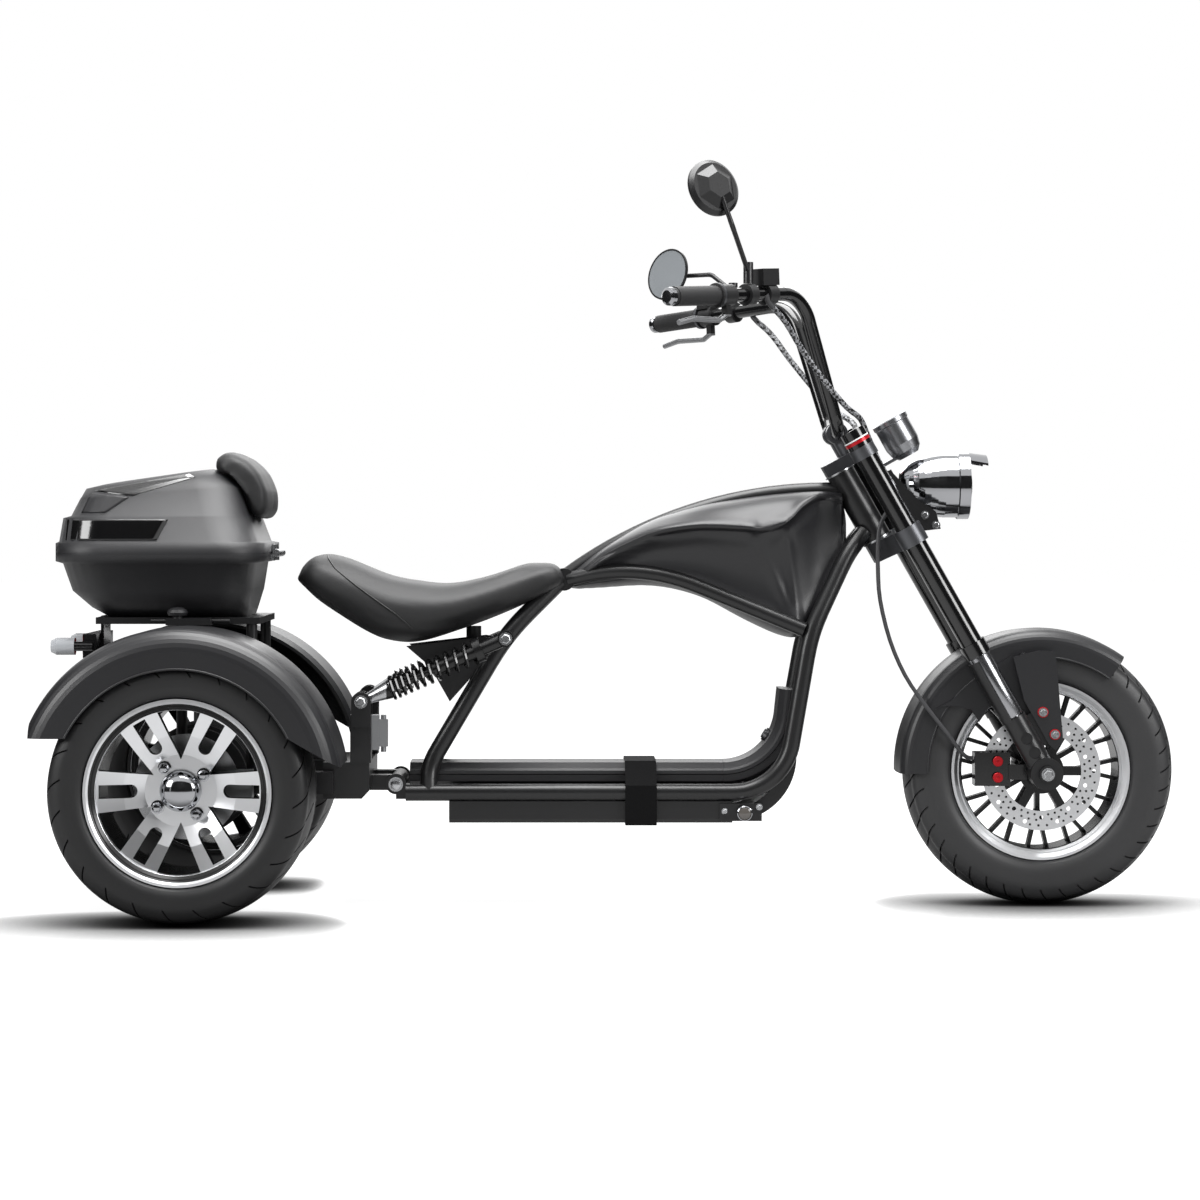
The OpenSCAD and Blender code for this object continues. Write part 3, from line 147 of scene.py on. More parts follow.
zinc = finish("zinc plated steel", "#b9babc", 0.26, metallic=1.0, grain=0.8)
shock_top = (-0.2047, 0.1282, 0.5004)
shock_foot = (-0.470, 0.1352, 0.385)
arm_pivot = (-0.408, 0.0982, 0.231)
frame_bolts = bmesh.new()
for side in (-1, 1):
    for (x, y, z), radius in ((shock_top, 9), (shock_foot, 9), (arm_pivot, 10)):
        bolt(frame_bolts, (x, side * y, z), (0, side, 0), radius, height=8)
build("frame_bolts", frame_bolts, zinc, "frame")

# Tank panels.
# One pair of moulded covers over the frame's spine, painted satin black, with a soft shoulder
# line and two creases that fan out from the knee to the foot of the panel.


def copy_of(node):
    # Copy of a CAD node with its corners merged and its triangles joined
    bm = bmesh.new()
    bm.from_mesh(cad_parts[node].data)
    bmesh.ops.remove_doubles(bm, verts=bm.verts[:], dist=2e-5)
    bmesh.ops.join_triangles(bm, faces=bm.faces[:], angle_face_threshold=0.35, angle_shape_threshold=0.9)
    return bm


def line_distance(point, start, end):
    run = end - start
    t = max(0.0, min(1.0, (point - start).dot(run) / run.length_squared))
    return (point - start - run * t).length


# Satin paint: broad soft highlights that show the panels' curves
panel_paint = finish("satin black paint on moulded panels", "#1d1d1f", 0.37, grain=1.2, bump=0.03)
panels = copy_of("body_shell")
bmesh.ops.subdivide_edges(panels, edges=panels.edges[:], cuts=2, use_grid_fill=True, smooth=0.4)
creases = [(Vector((0.249, 0.704)), Vector((0.334, 0.519))),
           (Vector((0.312, 0.709)), Vector((0.338, 0.519)))]
shoulder_points = ((-0.090, 0.613), (-0.031, 0.660), (0.061, 0.700), (0.153, 0.711),
                   (0.264, 0.706), (0.328, 0.722), (0.374, 0.765), (0.402, 0.774))
shoulder = [(Vector(a), Vector(b)) for a, b in zip(shoulder_points, shoulder_points[1:])]
hollow_drop = Vector((0, 0.024))
spine_half = 0.035


def swell(distance, height, spread):
    # Height of a rounded ridge at a distance from its line
    return height * math.exp(-(distance / spread) ** 2)


for vert in panels.verts:
    if abs(vert.co.y) > spine_half:
        flat = Vector((vert.co.x, vert.co.z))
        push = sum(swell(line_distance(flat, a, b), height=0.005, spread=0.010) for a, b in creases)
        near = min(line_distance(flat, a, b) for a, b in shoulder)
        below = min(line_distance(flat + hollow_drop, a, b) for a, b in shoulder)
        push += swell(near, height=0.007, spread=0.011) - swell(below, height=0.005, spread=0.012)
        vert.co.y += math.copysign(push, vert.co.y)
tank = build("tank_panels", panels, panel_paint, "frame", sharp=50)
tank.modifiers.new("rounding", "SUBSURF").levels = 1
tank.modifiers["rounding"].render_levels = 1
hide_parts("body_shell")

# Footboard, leg guard and battery strap.
# Moulded covers between the rails, whose fine grain gives a dull even sheen, and a wide rubber band
# with hardly any sheen that holds the battery lid down.
cover_plastic = finish("grained black polypropylene", "#1d1d1f", 0.44, grain=0.7, bump=0.12)
dress(cover_plastic, "footboard", "leg_guard")
strap_rubber = finish("black rubber band", "#060607", 0.85, grain=3.0, bump=0.3)
strap_rubber.node_tree.nodes["Principled BSDF"].inputs["Specular IOR Level"].default_value = 0.15
dress(strap_rubber, "battery_strap")
# Satin nickel: a soft grey mirror
socket_metal = finish("satin nickel plate", "#8d8e90", 0.3, metallic=1.0)
dress(socket_metal, "charge_socket")

# Marker lamps on the battery case.
# A smoked lens in a bright turned frame on a black plate, which is screwed to the side of the case.
lamp_plate = finish("black moulded lamp plate", "#161617", 0.35)
dress(lamp_plate, "side_lamps")
# Smoked acrylic: dark, with a sharp glint
smoked = finish("smoked acrylic lens", "#57534f", 0.12, coat=0.6, grain=3.0)
lens_x, lens_y, lens_z = 0.2353, 0.1084, 0.178
plate_y, screw_places = 0.0985, ((0.199, 0.181), (0.2625, 0.189))
lamp_rims, lamp_lenses, lamp_screws = bmesh.new(), bmesh.new(), bmesh.new()
for side in (-1, 1):
    centre = (lens_x, side * lens_y, lens_z)
    turned(lamp_rims, centre, (0, side, 0),
           [(-4, 14), (1, 14), (2, 12.5), (0.5, 11.5), (-4, 11.5), (-4, 14)], 32)
    turned(lamp_lenses, centre, (0, side, 0), [(-3, 0), (-3, 11.8), (0.5, 11.5), (2.5, 8), (3.2, 0)], 32)
    for x, z in screw_places:
        bolt(lamp_screws, (x, side * plate_y, z), (0, side, 0), radius=4.5, height=4)
# Chrome: a clear mirror of the studio
chrome = finish("chrome plate", "#a9aaad", 0.09, metallic=1.0, spread=0.02, bump=0.01)
build("marker_lamp_rims", lamp_rims, chrome, "frame")
build("marker_lamp_lenses", lamp_lenses, smoked, "frame")
build("marker_lamp_screws", lamp_screws, zinc, "frame")

# Seat.
# Foam under a smooth black synthetic leather cover with one seam down each flank, glued to a
# moulded base on the frame.
cloth_steps = 20


def padding(name, node, shrink, voxel, cap, material, body):
    # Pressure cloth on a slightly smaller copy of the foam, each point held to a cap in metres
    bm = copy_of(node)
    bmesh.ops.subdivide_edges(bm, edges=bm.edges[:], cuts=1, use_grid_fill=True, smooth=0.6)
    bm.normal_update()
    for vert in bm.verts:
        vert.co -= vert.normal * shrink
    pad = build(name, bm, material, body, sharp=180)
    pad.data.remesh_voxel_size = voxel
    bpy.context.view_layer.objects.active = pad
    pad.select_set(True)
    bpy.ops.object.voxel_remesh()
    pad.select_set(False)
    rest = [vert.co.copy() for vert in pad.data.vertices]
    cloth = pad.modifiers.new("swelling", "CLOTH")
    cloth.settings.use_pressure = True
    cloth.settings.uniform_pressure_force = 4.0
    cloth.settings.effector_weights.gravity = 0.0
    cloth.point_cache.frame_end = cloth_steps
    for step in range(1, cloth_steps + 1):
        bpy.context.scene.frame_set(step)
    swollen = pad.evaluated_get(bpy.context.evaluated_depsgraph_get()).data
    moved = [vert.co.copy() for vert in swollen.vertices]
    pad.modifiers.remove(cloth)
    for vert, start, end in zip(pad.data.vertices, rest, moved):
        shift = end - start
        vert.co = start + shift * min(1.0, cap / max(shift.length, 1e-9))
    bpy.context.scene.frame_set(1)
    bm = bmesh.new()
    bm.from_mesh(pad.data)
    for _ in range(3):
        bmesh.ops.smooth_vert(bm, verts=bm.verts[:], factor=0.5, use_axis_x=True, use_axis_y=True,
                              use_axis_z=True)
    bm.to_mesh(pad.data)
    bm.free()
    for face in pad.data.polygons:
        face.use_smooth = True
    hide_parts(node)
    return pad


def skin_of(piece):
    # A piece's surface, for rays that find where to lay something on it
    shape = bmesh.new()
    shape.from_mesh(piece.data)
    skin = BVHTree.FromBMesh(shape)
    shape.free()
    return skin


def piping(name, runs, radius, material, body):
    # Round cord along runs of points
    curve = bpy.data.curves.new(name, "CURVE")
    curve.dimensions = "3D"
    curve.bevel_depth = radius
    curve.bevel_resolution = 2
    for points in runs:
        spline = curve.splines.new("POLY")
        spline.points.add(len(points) - 1)
        for slot, point in zip(spline.points, points):
            slot.co = (*point, 1.0)
    cord = bpy.data.objects.new(name, curve)
    bpy.context.scene.collection.objects.link(cord)
    cord.data.materials.append(material)
    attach(cord, body)
    return cord


# Fine pores give the leather a soft wide sheen, and the piping is a little glossier
leather = finish("smooth black synthetic leather", "#171718", 0.56, grain=1.1, bump=0.16, spread=0.07)
seat = padding("seat_pad", "seat_cushion", shrink=0.004, voxel=0.006, cap=0.006, material=leather,
               body="frame")
seat_skin = skin_of(seat)
thread = finish("black sewn piping", "#0f0f10", 0.45)
flank = [(-0.548, 0.664), (-0.519, 0.629), (-0.479, 0.598), (-0.443, 0.572), (-0.405, 0.545),
         (-0.370, 0.514)]
seam_steps, seam_lift = 6, 0.0004
seat_runs = []
for side in (-1, 1):
    inward = Vector((0, -side, 0))
    run = []
    for (x0, z0), (x1, z1) in zip(flank, flank[1:]):
        for i in range(seam_steps):
            share = i / seam_steps
            aim = Vector((x0 + (x1 - x0) * share, side, z0 + (z1 - z0) * share))
            hit = seat_skin.ray_cast(aim, inward)[0]
            if hit:
                run.append(hit - inward * seam_lift)
    seat_runs.append(run)
seat_piping = piping("seat_piping", seat_runs, 0.0016, thread, "frame")

# Shock absorbers.
# Black coated coil springs over black dampers, each with a bare aluminium cone at its foot.


def second_finish(material, weights, limit, colour, metallic=0.0, fold=False):
    # Where the weighted sum of the place passes the limit, in metres, the piece has another finish;
    # fold measures the left side as the right one
    tree = material.node_tree
    shader = tree.nodes["Principled BSDF"]
    source = (add(tree, "ShaderNodeTexCoord"), "Object")
    if fold:
        source = (add(tree, "ShaderNodeVectorMath", {"operation": "ABSOLUTE"}, links={0: source}), 0)
    reach = add(tree, "ShaderNodeVectorMath", {"operation": "DOT_PRODUCT"}, {1: weights}, {0: source})
    beyond = add(tree, "ShaderNodeMath", {"operation": "GREATER_THAN"}, {1: limit}, {0: (reach, "Value")})
    first = shader.inputs["Base Color"].links[0].from_socket
    tone = add(tree, "ShaderNodeMix", {"data_type": "RGBA"}, {7: linear(colour)}, {0: (beyond, 0)})
    tree.links.new(first, tone.inputs[6])
    tree.links.new(tone.outputs[2], shader.inputs["Base Color"])
    metal = add(tree, "ShaderNodeMath", {"operation": "MULTIPLY"}, {1: metallic}, {0: (beyond, 0)})
    tree.links.new(metal.outputs[0], shader.inputs["Metallic"])


# Anodised black with a tight glint, bare metal at the foot, and enamel that draws thin bright lines
# on the coils
damper_alloy = finish("black anodised damper with a bare aluminium foot", "#0d0d0e", 0.28)
second_finish(damper_alloy, (-1, 0, 0), 0.424, "#c2c3c5", 1.0)
dress(damper_alloy, "shock_dampers")
gloss_coat = finish("gloss black enamel", "#0a0a0b", 0.18, coat=0.5, grain=2.0, bump=0.02)
dress(gloss_coat, "shock_springs")

# Rear axle and brakes.
# A finned motor housing in cast aluminium, painted dark, rough and dull, and bead blasted calipers
# of a pale metal with no clear reflection.
cast_alloy = finish("dark cast aluminium", "#19191a", 0.5, grain=1.0, bump=0.2)
dress(cast_alloy, "drive_axle")
caliper_alloy = finish("bead blasted aluminium", "#9a9b9d", 0.38, metallic=0.9, grain=0.6, bump=0.1)
dress(caliper_alloy, "rear_calipers")

# Wheels.
# Cast aluminium rims painted gloss black; the rear ones have their spoke faces and lips cut bright
# on a lathe, the front one its lip only, so fine turning rings show on the bright parts.
axle_rear, axle_front = (-0.778, 0.0, 0.238), (0.789, 0.0, 0.252)
half_track = 0.287
ramp_reach, cut_slack = 0.2, 0.0011
# The real turning rings are finer: these are as coarse as they need to be to show
ring_pitch = 0.0026


def cut_alloy(name, axle, faces):
    # faces: rows of radius in metres, and distance of the bright face from the wheel's middle plane
    material = bpy.data.materials.new(name)
    material.use_nodes = True
    tree = material.node_tree
    shader = tree.nodes["Principled BSDF"]
    place = add(tree, "ShaderNodeTexCoord")
    centred = add(tree, "ShaderNodeVectorMath", {"operation": "SUBTRACT"}, {1: axle},
                  {0: (place, "Object")})
    parts = add(tree, "ShaderNodeSeparateXYZ", links={0: (centred, 0)})
    disc = add(tree, "ShaderNodeVectorMath", {"operation": "MULTIPLY"}, {1: (1, 0, 1)},
               {0: (centred, 0)})
    radius = add(tree, "ShaderNodeVectorMath", {"operation": "LENGTH"}, links={0: (disc, 0)})
    ramp = add(tree, "ShaderNodeValToRGB")
    while len(ramp.color_ramp.elements) < len(faces):
        ramp.color_ramp.elements.new(0.5)
    for element, (r, height) in zip(ramp.color_ramp.elements, faces):
        element.position = r / ramp_reach
        element.color = (height * 2, height * 2, height * 2, 1)
    scaled = add(tree, "ShaderNodeMath", {"operation": "DIVIDE"}, {1: ramp_reach}, {0: (radius, "Value")})
    tree.links.new(scaled.outputs[0], ramp.inputs[0])
    level = add(tree, "ShaderNodeMath", {"operation": "MULTIPLY"}, {1: 0.5}, {0: (ramp, "Color")})
    outward = add(tree, "ShaderNodeMath", {"operation": "ABSOLUTE"}, links={0: (parts, "Y")})
    above = add(tree, "ShaderNodeMath", {"operation": "SUBTRACT"}, links={0: (outward, 0), 1: (level, 0)})
    bright = add(tree, "ShaderNodeMath", {"operation": "GREATER_THAN"}, {1: -cut_slack}, {0: (above, 0)})
    turns = add(tree, "ShaderNodeMath", {"operation": "MULTIPLY"}, {1: math.tau / ring_pitch},
                {0: (radius, "Value")})
    rings = add(tree, "ShaderNodeMath", {"operation": "SINE"}, links={0: (turns, 0)})
    colour = add(tree, "ShaderNodeMix", {"data_type": "RGBA"},
                 {6: linear("#060607"), 7: linear("#e6e7e9")}, {0: (bright, 0)})
    rough = add(tree, "ShaderNodeMapRange", values={"To Min": 0.26, "To Max": 0.31},
                links={"Value": (bright, 0)})
    relief = add(tree, "ShaderNodeBump", values={"Strength": 0.008, "Distance": 0.0002},
                 links={"Height": (rings, 0)})
    tree.links.new(colour.outputs[2], shader.inputs["Base Color"])
    tree.links.new(bright.outputs[0], shader.inputs["Metallic"])
    tree.links.new(rough.outputs["Result"], shader.inputs["Roughness"])
    tree.links.new(relief.outputs["Normal"], shader.inputs["Normal"])
    return material


rear_cut = cut_alloy("lathe cut aluminium, black in the recesses", axle_rear,
                     [(0.064, half_track + 0.032), (0.100, half_track + 0.048),
                      (0.1465, half_track + 0.062), (0.1475, 0.45), (0.1570, 0.45), (0.1580, 0.2)])
dress(rear_cut, "rear_rim_left", "rear_rim_right")
front_cut = cut_alloy("black cast aluminium with a lathe cut lip", axle_front,
                      [(0.140, 0.24), (0.1455, 0.24), (0.1475, 0.034)])
dress(front_cut, "front_rim")
disc_steel = cut_alloy("ground stainless steel on a black carrier", axle_front,
                       [(0.066, 0.24), (0.0735, 0.24), (0.0742, 0.0)])
dress(disc_steel, "front_disc")
rear_disc_steel = finish("ground stainless steel", "#b4b5b7", 0.28, metallic=1.0, grain=0.5)
dress(rear_disc_steel, "rear_disc_left", "rear_disc_right")
hub_y, nut_circle, first_nut = half_track + 0.0322, 0.050, 35


def on_wheel(axle, radius, angle, y):
    # Point at a radius and an angle round an axle
    return (axle[0] + radius * math.cos(angle), y, axle[2] + radius * math.sin(angle))


for body, side in (("rear_wheel_left", 1), ("rear_wheel_right", -1)):
    nuts = bmesh.new()
    for k in range(4):
        start = on_wheel(axle_rear, nut_circle, math.radians(first_nut + 90 * k), side * hub_y)
        turned(nuts, start, (0, side, 0), [(0, 0), (0, 10), (12, 9.6)], 6)
        turned(nuts, start, (0, side, 0), [(0, 12), (3, 12), (3.5, 10), (3.5, 9)], 24)
        turned(nuts, start, (0, side, 0), [(11.5, 9.4), (16, 8.4), (19.5, 5.5), (21, 0)], 24)
    turned(nuts, (axle_rear[0], side * hub_y, axle_rear[2]), (0, side, 0),
           [(0, 37), (8, 37), (18, 34), (26, 25), (30.5, 12), (31.5, 0)], 64)
    build(body + "_nuts", nuts, chrome, body)
# Small drill holes between the disc's large holes, drawn as thin gloss black discs on both of its faces:
# painted shade in place of the holes
outer_circle, inner_circle, large_count = 0.098, 0.086, 20
large_holes = [Vector(on_wheel(axle_front, inner_circle if k % 2 else outer_circle,
                               math.tau * k / large_count, 0.0)) for k in range(large_count)]
drill_rows, drill_count, hole_room = (0.081, 0.091, 0.101), 40, 0.0072
disc_faces = ((-0.05795, -1), (-0.05405, 1))
hole_shade_discs = bmesh.new()
for k in range(drill_count):
    for row, r in enumerate(drill_rows):
        angle = math.tau * (k + row / len(drill_rows)) / drill_count
        spot = Vector(on_wheel(axle_front, r, angle, 0.0))
        if min((spot - hole).length for hole in large_holes) > hole_room:
            for face, out in disc_faces:
                turned(hole_shade_discs, (spot.x, face, spot.z), (0, out, 0),
                       [(0.0, 2.4), (0.1, 2.3), (0.1, 0)], 10)
build("disc_drillings_painted_shade", hole_shade_discs, gloss_coat, "front_wheel")

# Tyres.
# Black road rubber with raised rings on the walls and narrow slanted cuts over the shoulders,
# moulded in one with the wall, so the tread stands a few millimetres above the cuts.


def bow(a, b, c, count):
    # Points of a curve from a to c that bends towards b, without c itself
    return [(Vector(a) * (1 - t) ** 2 + Vector(b) * 2 * t * (1 - t) + Vector(c) * t * t)
            for t in (i / count for i in range(count))]


def tyre(name, node, body, centre, radius, width, rim_width, shoulder, drop, cuts, rubber):
    # cuts: their number round the tyre, where they start and end, measured over the shoulder from
    # the middle of the tread, and their twist in degrees for each metre
    rim, side_y, bead_y = 0.166, width / 2, rim_width / 2
    bulge, edge_y = rim + (radius - rim) * 0.45, width / 2 - shoulder
    half = [Vector((rim - 0.014, bead_y - 0.0003)), Vector((rim - 0.002, bead_y - 0.0003))]
    half += bow((rim + 0.001, bead_y + 0.001), (rim + 0.004, side_y), (bulge, side_y), 8)
    half += bow((bulge, side_y), (radius - drop * 0.6, side_y), (radius - drop, edge_y), 9)
    half += bow((radius - drop, edge_y), (radius, edge_y * 0.5), (radius, 0), 9)
    raised_rings = ((4, 0.0011), (11, 0.0009))
    for i, lift in raised_rings:
        half[i] += Vector((0, lift))
    profile = half + [Vector((radius, 0))] + [Vector((p.x, -p.y)) for p in reversed(half)]
    steps, groove_half = 360, 0.004
    count, first, last, twist = cuts
    bm = bmesh.new()
    middle = Vector(centre)
    line = [bm.verts.new(middle + Vector((p.x, p.y, 0))) for p in profile]
    edges = [bm.edges.new(pair) for pair in zip(line, line[1:])]
    bmesh.ops.spin(bm, geom=line + edges, cent=middle, axis=(0, 1, 0), dvec=(0, 0, 0), angle=math.tau,
                   steps=steps, use_merge=True, use_duplicate=False)
    bmesh.ops.remove_doubles(bm, verts=bm.verts[:], dist=1e-6)
    bmesh.ops.recalc_face_normals(bm, faces=bm.faces[:])
    cut = []
    for face in bm.faces:
        off = face.calc_center_median() - middle
        reach = abs(off.y) + radius - math.hypot(off.x, off.z)
        place = math.degrees(math.atan2(off.z, off.x)) % (360 / count)
        if (first < reach < last and place < 360 / steps) or reach < groove_half:
            cut.append(face)
    bmesh.ops.inset_region(bm, faces=cut, thickness=0.0006, depth=-0.0045, use_even_offset=True)
    for vert in bm.verts:
        off = vert.co - middle
        reach = min(last, abs(off.y) + radius - math.hypot(off.x, off.z))
        turn = Matrix.Rotation(math.radians(twist * reach), 3, "Y")
        vert.co = middle + turn @ off
    piece = build(name, bm, rubber, body, sharp=40)
    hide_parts(node)


# The same black rubber on every tyre, lightened on the front tyre as painted sheen and darkened on the
# rear ones as painted shade
shaded_rear_rubber = finish("black tyre rubber", "#151516", 0.46, grain=2.0, bump=0.1, cloud=0.2)
sheen_front_rubber = finish("black tyre rubber lightened as painted sheen", "#2c2c2d", 0.44, grain=2.0, bump=0.1, cloud=0.25)
for body, side in (("rear_wheel_left", 1), ("rear_wheel_right", -1)):
    name = "left" if side > 0 else "right"
    tyre("tyre_rear_" + name, "rear_tyre_" + name, body, (axle_rear[0], side * half_track, axle_rear[2]),
         radius=0.238, width=0.200, rim_width=0.168, shoulder=0.030, drop=0.008,
         cuts=(24, 0.030, 0.132, 170), rubber=shaded_rear_rubber)
tyre("tyre_front", "front_tyre", "front_wheel", axle_front, radius=0.252, width=0.126, rim_width=0.090,
     shoulder=0.024, drop=0.012, cuts=(40, 0.012, 0.092, 110), rubber=sheen_front_rubber)

# Mudguards.
# Pressed steel guards in the same satin black paint as the tank panels, their edges rolled to a
# thin bead, and a flat side plate that ties the front guard to the fork legs.
dress(panel_paint, "rear_fender_left", "rear_fender_right", "front_fender")


def edge_bead(name, axle, y, radius, start, end, body):
    # Bead along both edges, from one angle round the axle to another, in degrees
    runs, steps = [], 60
    for side in (-1, 1):
        angles = [math.radians(start + (end - start) * i / steps) for i in range(steps + 1)]
        runs.append([on_wheel(axle, radius, a, side * y) for a in angles])
    piping(name, runs, 0.0022, panel_paint, body)


edge_bead("rear_guard_beads", axle_rear, y=0.3946, radius=0.219, start=26.5, end=153.4, body="frame")
edge_bead("front_guard_beads", axle_front, y=0.0722, radius=0.2125, start=54.3, end=180.7,
          body="steering")
# Corners of the plates in millimetres from the front axle
plate_rows = [(-199, 116), (-187, 121), (-160, 123), (-133, 116), (-118, 92), (-100, 120), (-49, 131),
              (9, 42), (22, 65), (8, 197), (20, 224), (-60, 214), (-120, 178), (-170, 132)]
skirt_y, plate_wall = 0.0728, 0.0034
side_plates = bmesh.new()
for side in (-1, 1):
    corners = [(axle_front[0] + x * 0.001, side * skirt_y, axle_front[2] + z * 0.001)
               for x, z in plate_rows]
    plate = side_plates.faces.new([side_plates.verts.new(corner) for corner in corners])
    raised = bmesh.ops.extrude_face_region(side_plates, geom=[plate])["geom"]
    bmesh.ops.translate(side_plates, verts=[v for v in raised if isinstance(v, bmesh.types.BMVert)],
                        vec=(0, side * plate_wall, 0))
build("front_guard_side_plates", side_plates, panel_paint, "steering")

# Rear lamps.
# A red lens behind the rack and clear indicator lenses on black stalks, all in glossy acrylic with
# its colour only at the lens.
red_lens = finish("black lamp housing with a red acrylic lens", "#121213", 0.2, coat=0.5, grain=4.0)
second_finish(red_lens, (-1, 0, 0), 0.9835, "#6a0e14")
dress(red_lens, "tail_lamp")
clear_lens = finish("black stalk with a clear prismatic lens", "#121213", 0.15, coat=0.5, grain=5.0,
                    bump=0.3)
second_finish(clear_lens, (-1, 0, 0), 0.9965, "#b4b7bb")
dress(clear_lens, "rear_indicators")

# Luggage case.
# A two part shell of moulded polypropylene, matt from its fine grain, glossy bands and a facet let
# into each side of the lid, a padded backrest, and the knob that locks it on the rack.
case_plastic = finish("grained matt polypropylene", "#202022", 0.46, grain=0.6, bump=0.16)
for name, node, body in (("case_tub_shell", "case_tub", "frame"),
                         ("lid_cover", "lid_shell", "case_lid")):
    shell = build(name, copy_of(node), case_plastic, body, sharp=48)
    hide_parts(node)
dress(zinc, "case_hinge", "lid_knuckle")
knob = bmesh.new()
turned(knob, (-0.800, -0.187, 0.5403), (0, 0, 1),
       [(-0.2, 0), (-0.2, 9), (3, 9), (5, 17), (10, 19), (15, 17), (19, 10), (20, 0)], 32)
build("rack_knob", knob, case_plastic, "frame")
padding("lid_pad", "lid_backrest", shrink=0.003, voxel=0.005, cap=0.005, material=leather,
        body="case_lid")
lid_skin = skin_of(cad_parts["lid_shell"])
# Polished acrylic: a dark mirror of the studio
band_gloss = finish("gloss black acrylic band", "#0b0b0c", 0.14, coat=0.7, grain=4.0, bump=0.01)
lid_half, panel_lift = 0.2, 0.0009


def lid_panels(name, corners, material):
    # Thin panels on both sides of the lid: corners x, z, laid on the skin, or at the lid's half width
    # where a ray passes its edge
    bm = bmesh.new()
    for side in (-1, 1):
        face = bm.faces.new([bm.verts.new((x, side, z)) for x, z in corners])
        bmesh.ops.triangulate(bm, faces=[face])
    bmesh.ops.subdivide_edges(bm, edges=bm.edges[:], cuts=11, use_grid_fill=True)
    for vert in bm.verts:
        side = math.copysign(1.0, vert.co.y)
        hit = lid_skin.ray_cast(vert.co, Vector((0, -side, 0)))[0]
        if hit:
            vert.co = hit
        else:
            vert.co.y = side * lid_half
        vert.co.y += side * panel_lift
    panel = build(name, bm, material, "case_lid")
    panel.modifiers.new("wall", "SOLIDIFY").thickness = 0.0016


lid_panels("lid_side_bands",
           [(-1.006, 0.682), (-0.836, 0.682), (-0.816, 0.7195), (-1.004, 0.7195)], band_gloss)
lid_panels("lid_top_bands",
           [(-0.958, 0.772), (-0.884, 0.7625), (-0.772, 0.797), (-0.786, 0.804)], band_gloss)
lid_panels("lid_rear_facets",
           [(-0.962, 0.769), (-0.890, 0.760), (-0.930, 0.7325), (-0.978, 0.7325)], case_plastic)

# Fork.
# Gloss black tubes in silver grey clamps, polished sleeves over the lower stanchions, black
# castings at the axle, and coloured rings on the top caps.
dress(gloss_coat, "fork_tubes")
dress(chrome, "fork_sliders")
dress(frame_coat, "fork_castings")
# Anodised clamps gleam softly, the polished sleeves have a clear long highlight
clamp_alloy = finish("satin grey anodised aluminium", "#5c5d60", 0.36, metallic=0.85, grain=0.8)
dress(clamp_alloy, "fork_clamps")
steering_head, rake = (0.455298, 0, 0.746370), 29.5
to_fork = Matrix.Translation(steering_head) @ Matrix.Rotation(math.radians(-rake), 4, "Y")
up_fork = to_fork.to_3x3() @ Vector((0, 0, 1))
red_enamel = finish("red anodised ring", "#b3121d", 0.3, metallic=0.4)
white_enamel = finish("white enamel ring", "#e6e6e6", 0.35)
leg_x, leg_y = 0.047, 0.104
red_rings, white_rings, bearing_rings = bmesh.new(), bmesh.new(), bmesh.new()
for side in (-1, 1):
    foot = to_fork @ Vector((leg_x, side * leg_y, 0.104))
    turned(red_rings, foot, up_fork, [(0, 23), (0, 24.6), (6, 24.6), (6, 23)], 48)
    turned(white_rings, foot, up_fork, [(7, 23), (7, 24.5), (9.5, 24.5), (9.5, 23)], 48)
for height in (0.0703, -0.0737):
    turned(bearing_rings, to_fork @ Vector((0, 0, height)), up_fork,
           [(0, 15), (0, 30), (3.4, 30), (3.4, 15), (0, 15)], 48)
sleeves = bmesh.new()
for side in (-1, 1):
    turned(sleeves, to_fork @ Vector((leg_x, side * leg_y, -0.474)), up_fork,
           [(0, 17), (0, 20.6), (1, 21), (127, 21), (128, 20.6), (128, 17), (0, 17)], 48)
sleeve_alloy = finish("polished grey aluminium", "#a2a3a6", 0.22, metallic=1.0, grain=0.8)
build("fork_sleeves", sleeves, sleeve_alloy, "steering")
build("fork_red_rings", red_rings, red_enamel, "steering")
build("fork_white_rings", white_rings, white_enamel, "steering")
build("head_bearing_rings", bearing_rings, zinc, "steering")
casting_places, casting_y = ((0.7855, 0.364), (0.8077, 0.323)), 0.1001
bracket_places, bracket_y = ((0.575, 0.728), (0.5956, 0.709)), 0.0401
washer_y, axle_end_y = 0.1016, 0.1391
fork_bolts, red_washers = bmesh.new(), bmesh.new()
for side in (-1, 1):
    outward = (0, side, 0)
    for x, z in casting_places:
        turned(red_washers, (x, side * casting_y, z), outward,
               [(0, 0), (0, 10), (1.5, 10), (1.5, 0)], 24)
        bolt(fork_bolts, (x, side * washer_y, z), outward, radius=6, height=6)
    bolt(fork_bolts, (axle_front[0], side * axle_end_y, axle_front[2]), outward, radius=9, height=8)
    for x, z in bracket_places:
        bolt(fork_bolts, (x, side * bracket_y, z), outward, radius=6, height=5)
build("fork_bolts", fork_bolts, zinc, "steering")
build("fork_red_washers", red_washers, red_enamel, "steering")

# Front caliper.
# A body in gloss black enamel with two red piston caps, bolted to the fork over the disc.
dress(gloss_coat, "front_caliper")
cap_x, cap_y = axle_front[0] - 0.084, -0.0821
caps = bmesh.new()
for z in (-0.010, 0.020):
    turned(caps, (cap_x, cap_y, axle_front[2] + z), (0, -1, 0),
           [(-1, 0), (-1, 9.5), (2.5, 9.5), (3.5, 8.5), (3.5, 3.5), (2.2, 3), (2.2, 0)], 24)
build("caliper_caps", caps, red_enamel, "steering")

# Headlamp and gauge.
# A spun and chromed lamp shell with a clear glass lens, and a gauge in a brushed steel case.
dress(chrome, "headlamp_bucket")
# Brushed steel: brighter than the tubes, softer than the chrome
gauge_steel = finish("brushed stainless steel", "#97989b", 0.3, metallic=1.0, grain=1.0)
dress(gauge_steel, "gauge")
